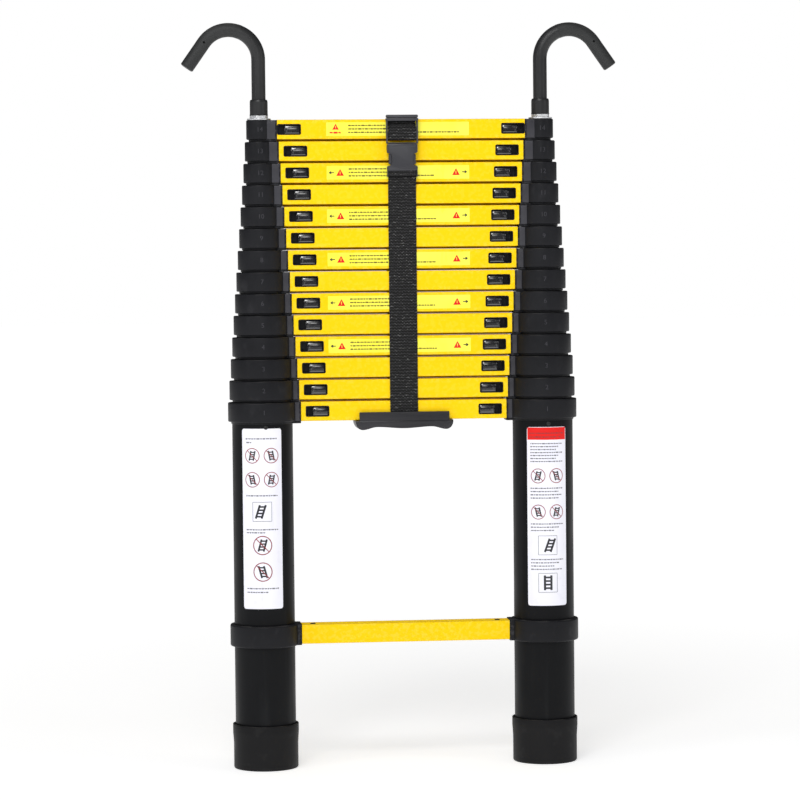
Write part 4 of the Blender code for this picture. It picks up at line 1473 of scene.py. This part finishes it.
@dataclass
class Buckle:
    """Side-release buckle: a shelled socket and a plug with its strap frame and sprung prongs."""

    rail_drop: float = 0.0083

    def socket(self) -> None:
        """Build the socket: a waisted shell, the strap slot and the rails beside the webbing's loop."""
        low, high = (Vector(corner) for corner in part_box("buckle_socket"))
        half, depth = high.x, high.y - low.y
        base, top = low.z + self.rail_drop, high.z
        middle_y = (low.y + high.y) / 2
        notch_low, notch_high = base + 0.0062, base + 0.0238
        notch = half - 0.0064
        bar = [
            (-half, base, 0.0030), (half, base, 0.0030), (half, notch_low - 0.0006, 0.0014),
            (notch, notch_low + 0.0022, 0.0018),
            (notch, notch_high - 0.0018, 0.0018), (half, notch_high + 0.0006, 0.0014), (half, top, 0.0020),
            (-half, top, 0.0020), (-half, notch_high + 0.0006, 0.0014), (-notch, notch_high - 0.0018, 0.0018),
            (-notch, notch_low + 0.0022, 0.0018), (-half, notch_low - 0.0006, 0.0014),
        ]
        shape = Shaper("buckle_socket_looks", BUCKLE_NYLON)
        upright = Matrix.Rotation(math.pi / 2, 4, "X")
        for y, thick in ((low.y + 0.0011, 0.0022), (high.y - 0.0011, 0.0022)):
            shape.prism(rounded(bar, 4), thick, Matrix.Translation((0.0, y, 0.0)) @ upright, 0, 0.0007)
        for sign in (-1, 1):
            for start, end in ((base + 0.0005, notch_low - 0.0012), (notch_high + 0.0012, top - 0.0005)):
                ends = sorted((sign * (half - 0.0032), sign * (half - 0.0002)))
                shape.block((ends[0], low.y + 0.001, start), (ends[1], high.y - 0.001, end), 0.0008)
        for sign in (-1, 1):
            ends = sorted((sign * (half - 0.0013), sign * (half - 0.0001)))
            shape.block((ends[0], low.y + 0.0010, low.z), (ends[1], high.y - 0.0010, base + 0.0010), 0.0005)
        shape.block((-half + 0.002, middle_y - depth * 0.30, base + 0.0046),
                    (half - 0.002, middle_y + depth * 0.30, base + 0.0062),
                    0.0006)
        ridge_y = low.y - 0.0001
        shape.block((-half + 0.0012, ridge_y, top - 0.0042), (half - 0.0012, ridge_y + 0.0012, top - 0.0012),
                    0.0005)
        shape.block((-half + 0.0022, ridge_y, base + 0.0014),
                    (half - 0.0022, ridge_y + 0.0012, base + 0.0040), 0.0005)
        place_piece(shape.done(), "base", "black_nylon", "buckle_socket")

    def plug(self) -> None:
        """Build the plug: ladder frame, cross bar, shoulder and the two prongs with thumb pads."""
        low, high = (Vector(corner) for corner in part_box("buckle_plug"))
        half = high.x
        front, back = low.y, high.y
        middle_y = (front + back) / 2
        top = high.z
        socket_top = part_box("buckle_socket")[1][2]
        shape = Shaper("buckle_plug_looks", BUCKLE_NYLON)
        shape.block((-half, front + 0.0004, top - 0.0081), (half, back, top - 0.0045), 0.0010)
        shape.block((-half + 0.0004, front + 0.0012, top - 0.0040), (half - 0.0004, back - 0.0012, top),
                    0.0014)
        shape.block((-half + 0.0016, front + 0.0026, top - 0.0060),
                    (half - 0.0016, back - 0.0016, top - 0.0020), 0.0010)
        inner = Webbing.width / 2 + 0.0004
        for sign in (-1, 1):
            ends = sorted((sign * inner, sign * (half - 0.0004)))
            shape.block((ends[0], front + 0.0018, socket_top + 0.0003),
                        (ends[1], back - 0.0022, top - 0.0070), 0.0007)
            prong_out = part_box("buckle_socket")[1][0] - 0.0042
            pad = sorted((sign * prong_out, sign * (prong_out - 0.0050)))
            shape.block((pad[0], middle_y - 0.0020, socket_top - 0.0290),
                        (pad[1], middle_y + 0.0020, socket_top + 0.0008),
                        0.0012)
            bulge = sorted((sign * (prong_out + 0.0022), sign * (prong_out - 0.0030)))
            shape.block((bulge[0], middle_y - 0.0022, socket_top - 0.0272),
                        (bulge[1], middle_y + 0.0022, socket_top - 0.0132),
                        0.0016)
        bar_z = top - 0.0310
        outline = rounded(box_corners(0.0026, 0.0026, 0.0009), 4)
        lying = Matrix.Translation((0.0, middle_y, bar_z)) @ Matrix.Rotation(math.pi / 2, 4, "Y")
        shape.prism(outline, 2 * inner + 0.001, lying)
        shape.block((-inner - 0.001, middle_y - 0.0022, socket_top + 0.0003),
                    (inner + 0.001, middle_y + 0.0022, socket_top + 0.0018),
                    0.0006)
        place_piece(shape.done(), LAYOUT.body(LAYOUT.sections), "black_nylon", "buckle_plug")


@dataclass
class CarryHandle:
    """Moulded handle: a channel clipped round the rung over a waved finger grip."""

    grip_end: float = 0.0660
    lobe: float = 0.0570
    finger: float = 0.0365
    lobe_depth: float = 0.0124
    finger_depth: float = 0.0086
    middle_depth: float = 0.0106
    plate_half: float = 0.0607

    def outline(self) -> list[Flat]:
        """Return the grip's front outline under its flat top."""

        def eased(low: float, high: float, share: float) -> float:
            """Return a value on a smooth rise."""
            return low + (high - low) * (1 - math.cos(math.pi * share)) / 2

        half = [(0.0, self.middle_depth)]
        steps = 10
        for step in range(1, steps + 1):
            share = step / steps
            half.append((self.finger * share, eased(self.middle_depth, self.finger_depth, share)))
        for step in range(1, steps + 1):
            share = step / steps
            half.append((self.finger + (self.lobe - self.finger) * share,
                         eased(self.finger_depth, self.lobe_depth, share)))
        for step in range(1, steps + 1):
            angle = math.pi / 2 * step / steps
            half.append((self.lobe + (self.grip_end - self.lobe) * math.sin(angle),
                         self.lobe_depth * math.cos(angle)))
        right = [(x, -depth) for x, depth in half]
        return [(-x, -depth) for x, depth in reversed(half[1:])] + right

    def build(self) -> bpy.types.Object:
        """Build the handle and return it."""
        low, high = (Vector(corner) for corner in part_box("carry_handle"))
        rung_low, _ = LAYOUT.rung_box(2)
        under = rung_low.z - 0.0024
        shape = Shaper("carry_handle_looks", FITTING_NYLON)
        upright = Matrix.Rotation(math.pi / 2, 4, "X")
        shape.prism(self.outline(), 2 * high.y - 0.0004,
                    Matrix.Translation((0.0, 0.0, under + 0.0018)) @ upright, 0, 0.0026)
        wall = 0.0202
        for sign in (-1, 1):
            face = sorted((sign * 0.0173, sign * wall))
            corners = [(-self.plate_half, under - 0.004, 0.001), (self.plate_half, under - 0.004, 0.001),
                       (self.plate_half, high.z, 0.0012), (-self.plate_half, high.z, 0.0012)]
            place = Matrix.Translation((0.0, (face[0] + face[1]) / 2, 0.0)) @ upright
            shape.prism(rounded(corners, 3), face[1] - face[0], place, 0, 0.0008)
            for end in (-1, 1):
                pad = sorted((end * 0.0215, end * (self.plate_half - 0.001)))
                inner = sorted((sign * 0.0154, sign * 0.0180))
                shape.block((pad[0], inner[0], under), (pad[1], inner[1], high.z - 0.0012), 0.0006)
        piece = shape.done()
        place_piece(piece, "base", "black_nylon", "carry_handle")
        return piece


# ---------------------------------------------------------------------------------------------------
# Labels, stickers and screws
# ---------------------------------------------------------------------------------------------------


class PrintedSheet:
    """A thin printed sheet: bars, rings, frames and plain signs laid on a base, then wrapped in place."""

    def __init__(self, name: str, wrap: Callable[[float, float, float], Vector], *finishes: Finish) -> None:
        """Keep the way a flat point (across, up, lift) is put on the ladder, and the inks."""
        self.shape = Shaper(name, *finishes)
        self.wrap = wrap

    def patch(self, corners: Sequence[Flat], slot: int, lift: float) -> None:
        """Add a four-sided patch, divided across so that it follows a curve."""
        a, b, c, d = (Vector(corner) for corner in corners)
        count = max(1, math.ceil(max((b - a).length, (c - d).length) / 0.0022))
        rows = []
        for start, end in ((a, b), (d, c)):
            flats = [start.lerp(end, step / count) for step in range(count + 1)]
            rows.append([self.shape.cage.verts.new(self.wrap(p.x, p.y, lift)) for p in flats])
        for step in range(count):
            face = self.shape.cage.faces.new((rows[0][step], rows[0][step + 1], rows[1][step + 1],
                                              rows[1][step]))
            face.material_index = slot

    def bar(self, x: float, y: float, width: float, height: float, slot: int, lift: float = 0.00006) -> None:
        """Add a level bar whose left end and middle height are given."""
        half = height / 2
        self.patch(((x, y - half), (x + width, y - half), (x + width, y + half), (x, y + half)), slot, lift)

    def stroke(self, start: Flat, end: Flat, width: float, slot: int, lift: float = 0.00008) -> None:
        """Add a straight stroke between two points."""
        along = (Vector(end) - Vector(start)).normalized()
        side = Vector((-along.y, along.x)) * width / 2
        a, b = Vector(start), Vector(end)
        self.patch((tuple(a - side), tuple(b - side), tuple(b + side), tuple(a + side)), slot, lift)

    def ring(self, x: float, y: float, radius: float, width: float, slot: int, lift: float = 0.00007) -> None:
        """Add a circle's outline."""
        steps = 40
        angles = [2 * math.pi * step / steps for step in range(steps + 1)]
        for start, end in zip(angles, angles[1:]):
            points = [(x + r * math.cos(a), y + r * math.sin(a)) for r, a in
                      ((radius - width, start), (radius, start), (radius, end), (radius - width, end))]
            self.patch(points, slot, lift)

    def frame(self, x: float, y: float, width: float, height: float, line: float, slot: int) -> None:
        """Add a rectangle's outline about a centre."""
        left, right, low, high = x - width / 2, x + width / 2, y - height / 2, y + height / 2
        for start, end in (((left, low), (right, low)), ((right, low), (right, high)),
                           ((right, high), (left, high)), ((left, high), (left, low))):
            self.stroke(start, end, line, slot)

    def words(self, x: float, y: float, width: float, height: float, slot: int, seed: int) -> None:
        """Add a line of plain dashes of mixed lengths in place of writing."""
        at, index = x, seed
        while at < x + width - height:
            dash = height * (0.9 + 1.5 * ((index * 37) % 11) / 11)
            dash = min(dash, x + width - at)
            self.bar(at, y, dash, height * (0.72 + 0.20 * (index % 2)), slot)
            at += dash + height * 0.42
            index += 1

    def ladder_sign(self, x: float, y: float, size: float, lean: float, slot: int) -> None:
        """Add a plain leaning ladder made of strokes, in place of a pictogram."""
        for shift in (-0.22, 0.22):
            self.stroke((x + size * (shift - lean), y - size * 0.5),
                        (x + size * (shift + lean), y + size * 0.5),
                        size * 0.15, slot)
        for step in range(4):
            up = -0.36 + 0.24 * step
            middle = x + size * lean * 2 * up
            self.stroke((middle - size * 0.22, y + size * up), (middle + size * 0.22, y + size * up),
                        size * 0.12, slot)

    def barred_sign(self, x: float, y: float, radius: float, lean: float, inks: Flat) -> None:
        """Add a ring with a ladder sign and a slanted bar in it."""
        red, black = int(inks[0]), int(inks[1])
        self.ladder_sign(x, y, radius * 1.25, lean, black)
        slant = radius * 0.66
        self.stroke((x - slant, y + slant), (x + slant, y - slant), radius * 0.09, red, 0.00010)
        self.ring(x, y, radius, radius * 0.10, red)

    def triangle(self, x: float, y: float, size: float, slot: int, mark: int) -> None:
        """Add a filled triangle with a small bar in it."""
        top, left, right = (x, y + size * 0.5), (x - size * 0.55, y - size * 0.45), (x + size * 0.55,
                                                                                     y - size * 0.45)
        tip = (x + size * 0.02, y + size * 0.5)
        self.patch((left, right, tip, top), slot, 0.00007)
        self.bar(x - size * 0.04, y - size * 0.04, size * 0.08, size * 0.40, mark, 0.00010)

    def base(self, width: float, height: float, radius: float, slot: int) -> None:
        """Add the sheet's own face with rounded corners, in level strips."""
        steps = 5
        levels = [height / 2 - radius * (1 - math.cos(math.pi / 2 * k / steps)) for k in range(steps, -1, -1)]
        insets = [radius * (1 - math.sin(math.pi / 2 * k / steps)) for k in range(steps, -1, -1)]
        upper = list(zip(levels, insets))
        rows = [(-level, inset) for level, inset in reversed(upper)] + upper
        for (low, low_in), (high, high_in) in zip(rows, rows[1:]):
            self.patch(((-width / 2 + low_in, low), (width / 2 - low_in, low),
                        (width / 2 - high_in, high), (-width / 2 + high_in, high)), slot, 0.0)

    def done(self) -> bpy.types.Object:
        """Return the finished sheet."""
        return self.shape.done(60.0)


@dataclass
class TubeLabel:
    """White label on an outer tube: plain signs and dashes stand for its printing."""

    side: Side
    width: float = 0.0565
    height: float = 0.2410
    top: float = 0.4590
    right_drop: float = 0.0034
    proud: float = 0.00018

    def build(self) -> bpy.types.Object:
        """Build the label and return it."""
        radius = LAYOUT.tube(1) + self.proud
        axis = self.side.value * LAYOUT.column_x
        facing = math.radians(-5.5) if self.side is Side.LEFT else 0.0
        top = self.top - (self.right_drop if self.side is Side.RIGHT else 0.0)
        middle = top - self.height / 2

        def wrap(x: float, y: float, lift: float) -> Vector:
            """Bend a flat point round the tube."""
            angle = x / radius + facing
            reach = radius + lift
            return Vector((axis + reach * math.sin(angle), -reach * math.cos(angle), middle + y))

        inks = (LABEL_VINYL, INK_RED, INK_BLACK, INK_GREY, INK_MAROON)
        sheet = PrintedSheet(f"tube_label_{self.side.word}", wrap, *inks)
        sheet.base(self.width, self.height, 0.0035, 0)
        if self.side is Side.LEFT:
            self.left_print(sheet)
        else:
            self.right_print(sheet)
        piece = sheet.done()
        place_piece(piece, "base", "black_painted_alloy")
        return piece

    def drop(self, millimetres: float) -> float:
        """Return the height of a row this far under the label's top."""
        return self.height / 2 - millimetres / 1000

    def left_print(self, sheet: PrintedSheet) -> None:
        """Lay out the left label."""
        left = -self.width / 2 + 0.006
        sheet.words(left, self.drop(13.4), 0.045, 0.0020, 3, 1)
        sheet.words(left + 0.001, self.drop(18.4), 0.010, 0.0020, 3, 5)
        for row, lean in ((36.0, 0.10), (68.0, -0.10)):
            sheet.barred_sign(-0.0130, self.drop(row), 0.0103, lean, (4, 2))
            sheet.barred_sign(0.0130, self.drop(row), 0.0103, -lean, (4, 2))
        sheet.words(left, self.drop(89.4), 0.044, 0.0019, 3, 3)
        sheet.frame(0.0, self.drop(110.8), 0.0256, 0.0256, 0.0006, 3)
        sheet.ladder_sign(-0.002, self.drop(110.8), 0.018, 0.16, 2)
        sheet.words(left, self.drop(134.8), 0.044, 0.0019, 3, 7)
        sheet.words(left, self.drop(138.8), 0.026, 0.0019, 3, 2)
        for row, lean in ((155.8, 0.14), (191.3, -0.14)):
            sheet.barred_sign(0.0, self.drop(row), 0.0129, lean, (4, 2))
        sheet.words(left, self.drop(213.6), 0.044, 0.0019, 3, 4)
        sheet.words(left, self.drop(218.6), 0.030, 0.0019, 3, 8)

    def right_print(self, sheet: PrintedSheet) -> None:
        """Lay out the right label, under its red header."""
        left = -self.width / 2 + 0.005
        sheet.bar(-self.width / 2 + 0.0008, self.drop(8.9), self.width - 0.0016, 0.0166, 1)
        for line in range(2):
            sheet.words(left - 0.001, self.drop(8.4 + 5.0 * line), 0.048 - 0.002 * line, 0.0020, 4, line + 4)
        for line in range(7):
            sheet.words(left, self.drop(22.4 + 4.0 * line), 0.046 - 0.005 * (line % 3), 0.0018, 3, line)
        sheet.barred_sign(-0.0127, self.drop(65.8), 0.0100, 0.12, (4, 2))
        sheet.barred_sign(0.0127, self.drop(65.8), 0.0100, -0.12, (4, 2))
        for line in range(4):
            sheet.words(left, self.drop(82.5 + 4.4 * line), 0.046 - 0.006 * (line % 2), 0.0018, 3, line + 3)
        sheet.barred_sign(-0.0127, self.drop(114.5), 0.0100, -0.12, (4, 2))
        sheet.barred_sign(0.0127, self.drop(114.5), 0.0100, 0.12, (4, 2))
        for line in range(3):
            sheet.words(left, self.drop(130.6 + 4.4 * line), 0.046 - 0.007 * line, 0.0018, 3, line + 6)
        sheet.frame(0.0, self.drop(159.4), 0.0256, 0.0256, 0.0006, 3)
        sheet.ladder_sign(0.003, self.drop(159.4), 0.018, 0.18, 2)
        for line in range(4):
            sheet.words(left, self.drop(178.6 + 4.4 * line), 0.046 - 0.006 * (line % 3), 0.0018, 3, line + 2)
        sheet.frame(0.0, self.drop(210.0), 0.0256, 0.0256, 0.0006, 3)
        sheet.ladder_sign(0.0, self.drop(210.0), 0.020, 0.0, 2)


@dataclass
class RungSticker:
    """Pale sticker on the front of a rung: triangles, arrows and dashes stand for its printing."""

    number: int
    width: float = 0.192
    height: float = 0.0182
    shift: float = -0.005
    proud: float = 0.00012

    def build(self) -> bpy.types.Object:
        """Build the sticker and return it."""
        low, high = LAYOUT.rung_box(self.number)
        face, middle = low.y - self.proud, (low.z + high.z) / 2

        def lay(x: float, y: float, lift: float) -> Vector:
            """Put a flat point on the rung's front."""
            return Vector((x + self.shift, face - lift, middle + y))

        sheet = PrintedSheet(f"rung_sticker_{self.number:02d}", lay, STICKER_VINYL, INK_RED, INK_BLACK,
                             INK_OLIVE)
        sheet.base(self.width, self.height, 0.0006, 0)
        top_rung = self.number == LAYOUT.sections + 1
        if top_rung:
            sheet.triangle(-0.0835, 0.0030, 0.0080, 1, 0)
            sheet.words(-0.0915, -0.0046, 0.0170, 0.0026, 1, 4)
        else:
            for sign in (-1, 1):
                sheet.triangle(sign * 0.0780, 0.0000, 0.0094, 1, 0)
                tip = sign * 0.0925
                sheet.stroke((tip, 0.0), (sign * 0.0862, 0.0), 0.0011, 2)
                sheet.stroke((tip, 0.0), (sign * 0.0898, 0.0017), 0.0011, 2)
                sheet.stroke((tip, 0.0), (sign * 0.0898, -0.0017), 0.0011, 2)
        for line in range(3):
            long_line = 0.149 if top_rung else 0.117
            length = 0.0880 if line < 2 else long_line
            sheet.words(-0.0665, 0.0048 - 0.0046 * line, length, 0.0021, 3, line + self.number)
        piece = sheet.done()
        place_piece(piece, LAYOUT.body(self.number - 1), "yellow_painted_alloy")
        return piece


@dataclass
class SmallScrews:
    """Domed screws: two on the bottom rung's tread and one under each lowest collar."""

    tread_radius: float = 0.0040
    tube_radius: float = 0.0028
    tube_height: float = 0.4602
    tube_turn: float = math.radians(3.0)
    sunk: float = 0.0001

    def head(self, shape: Shaper, centre: Vector, outward: Vector, radius: float) -> None:
        """Add one domed head with a cross recess."""
        cage = bmesh.new()
        bmesh.ops.create_uvsphere(cage, u_segments=24, v_segments=12, radius=radius)
        for corner in cage.verts:
            corner.co.z = max(corner.co.z, -0.1 * radius) * 0.42
        cross = radius * 0.46
        for corner in cage.verts:
            near = min(abs(corner.co.x), abs(corner.co.y)) < radius * 0.14
            if near and corner.co.xy.length < cross:
                corner.co.z *= 0.35
        turn = outward.to_track_quat("Z", "X").to_matrix().to_4x4()
        bmesh.ops.transform(cage, matrix=Matrix.Translation(centre) @ turn, verts=cage.verts)
        mesh = bpy.data.meshes.new("screw_head")
        cage.to_mesh(mesh)
        cage.free()
        shape.absorb(mesh, 0)

    def build(self) -> None:
        """Build the screws as one piece on the base."""
        shape = Shaper("small_screws", HOOK_STEEL)
        low, high = LAYOUT.rung_box(1)
        for side in Side:
            x = side.value * (high.x - 0.0155)
            self.head(shape, Vector((x, -0.0035, high.z - 0.0004)), Vector((0.0, 0.0, 1.0)), self.tread_radius)
            reach = LAYOUT.tube(1) - self.sunk
            outward = Vector((math.sin(self.tube_turn), -math.cos(self.tube_turn), 0.0))
            centre = Vector((side.value * LAYOUT.column_x, 0.0, self.tube_height)) + outward * reach
            self.head(shape, centre, outward, self.tube_radius)
        place_piece(shape.done(), "base", "black_coated_steel")


# ---------------------------------------------------------------------------------------------------
# Studio
# ---------------------------------------------------------------------------------------------------


@dataclass(frozen=True)
class Studio:
    """Pale floor, soft lights and the camera."""

    camera_place: Corner = (-0.429, -4.192, 0.682)
    camera_turn: Corner = (87.43, -5.79, -0.56)
    lens: float = 140.7

    def camera(self) -> None:
        """Place the camera: turn holds tilt from straight down, pan and roll in degrees."""
        data = bpy.data.cameras.new("studio_camera")
        data.lens = self.lens
        data.sensor_width = 36.0
        data.clip_end = 100.0
        made = bpy.data.objects.new("studio_camera", data)
        tilt, pan, roll = (math.radians(angle) for angle in self.camera_turn)
        turn = Matrix.Rotation(pan, 4, "Z") @ Matrix.Rotation(tilt, 4, "X") @ Matrix.Rotation(roll, 4, "Z")
        made.matrix_world = Matrix.Translation(self.camera_place) @ turn
        bpy.context.scene.collection.objects.link(made)
        bpy.context.scene.camera = made

    def floor(self) -> None:
        """Lay the pale floor."""
        cage = bmesh.new()
        bmesh.ops.create_grid(cage, x_segments=2, y_segments=2, size=30.0)
        mesh = bpy.data.meshes.new("studio_floor")
        cage.to_mesh(mesh)
        cage.free()
        material = bpy.data.materials.new("studio_floor")
        material.use_nodes = True
        shader = material.node_tree.nodes["Principled BSDF"]
        shader.inputs["Base Color"].default_value = (0.97, 0.97, 0.97, 1.0)
        shader.inputs["Roughness"].default_value = 0.35
        shader.inputs["Emission Color"].default_value = (1.0, 1.0, 1.0, 1.0)
        nodes, links = material.node_tree.nodes, material.node_tree.links
        place = nodes.new("ShaderNodeTexCoord")
        away = nodes.new("ShaderNodeVectorMath")
        away.operation = "LENGTH"
        links.new(place.outputs["Object"], away.inputs[0])
        glow = nodes.new("ShaderNodeMapRange")
        glow.inputs["From Min"].default_value = 0.6
        glow.inputs["From Max"].default_value = 3.0
        glow.inputs["To Min"].default_value = 0.50
        glow.inputs["To Max"].default_value = 0.72
        links.new(away.outputs["Value"], glow.inputs["Value"])
        links.new(glow.outputs["Result"], shader.inputs["Emission Strength"])
        mesh.materials.append(material)
        made = bpy.data.objects.new("studio_floor", mesh)
        bpy.context.scene.collection.objects.link(made)
        made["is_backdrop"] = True

    def lamp(self, name: str, place: Corner, aim: Corner, size: float, power: float) -> None:
        """Hang one soft square lamp."""
        data = bpy.data.lights.new(name, "AREA")
        data.shape = "SQUARE"
        data.size = size
        data.energy = power
        made = bpy.data.objects.new(name, data)
        turn = (Vector(aim) - Vector(place)).to_track_quat("-Z", "Y").to_matrix().to_4x4()
        made.matrix_world = Matrix.Translation(place) @ turn
        bpy.context.scene.collection.objects.link(made)

    def world(self) -> None:
        """Set a plain white surround that is dimmer as a light than as a backdrop."""
        world = bpy.data.worlds.new("studio_world")
        world.use_nodes = True
        tree = world.node_tree
        glow = tree.nodes["Background"]
        glow.inputs["Color"].default_value = (1.0, 1.0, 1.0, 1.0)
        path = tree.nodes.new("ShaderNodeLightPath")
        seen = tree.nodes.new("ShaderNodeMath")
        seen.operation = "MULTIPLY_ADD"
        seen.inputs[1].default_value = 0.67
        seen.inputs[2].default_value = 0.33
        tree.links.new(path.outputs["Is Camera Ray"], seen.inputs[0])
        mirrored = tree.nodes.new("ShaderNodeMath")
        mirrored.operation = "MULTIPLY_ADD"
        mirrored.inputs[1].default_value = -0.27
        tree.links.new(path.outputs["Is Glossy Ray"], mirrored.inputs[0])
        tree.links.new(seen.outputs[0], mirrored.inputs[2])
        tree.links.new(mirrored.outputs[0], glow.inputs["Strength"])
        bpy.context.scene.world = world

    def sun(self) -> None:
        """Hang the wide soft key light, high on the left."""
        data = bpy.data.lights.new("soft_key", "SUN")
        data.energy = 0.62
        data.angle = math.radians(50.0)
        made = bpy.data.objects.new("soft_key", data)
        made.matrix_world = Vector((-0.35, -0.75, 0.95)).to_track_quat("Z", "Y").to_matrix().to_4x4()
        bpy.context.scene.collection.objects.link(made)

    def build(self) -> None:
        """Set up the whole studio."""
        bpy.context.scene.view_settings.view_transform = "Standard"
        self.camera()
        self.floor()
        self.world()
        self.sun()
        self.lamp("front_lamp", (-0.1, -4.6, 2.2), (0.0, 0.0, 0.5), 1.2, 12.0)
        self.lamp("high_lamp", (-0.7, -2.4, 2.6), (0.0, 0.0, 0.6), 1.1, 32.0)
        self.lamp("left_lamp", (-2.4, -1.6, 1.5), (0.0, 0.0, 0.5), 0.7, 5.0)
        self.lamp("right_lamp", (2.4, -1.6, 1.5), (0.0, 0.0, 0.5), 0.7, 5.0)


def build_ladder() -> None:
    """Build every piece of the ladder, sub-assembly by sub-assembly."""
    for number in range(1, LAYOUT.sections + 2):
        Rung(number).build()
    for side in Side:
        for section in range(1, LAYOUT.sections + 1):
            Stile(section, side).build()
        BottomRungBracket(side).build()
        RubberFoot(side).build()
        Hook(side).build()
        LockNut(side).build()
        TubeLabel(side).build()
    for number in range(2, LAYOUT.sections + 2):
        ThumbLatches(number).build()
    for number in range(LAYOUT.sections + 1, 4, -2):
        RungSticker(number).build()
    strap = Strap()
    strap.lower()
    strap.upper()
    buckle = Buckle()
    buckle.socket()
    buckle.plug()
    CarryHandle().build()
    SmallScrews().build()


def main() -> None:
    logging.basicConfig(level=logging.INFO, format="%(name)s: %(message)s")
    Studio().build()
    build_ladder()
    boxes = {"cad": CAD_BOX, "visual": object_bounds()}
    plain = {key: [[float(value) for value in corner] for corner in box] for key, box in boxes.items()}
    LOG.info("boxes: %s", plain)


if __name__ == "__main__":
    main()
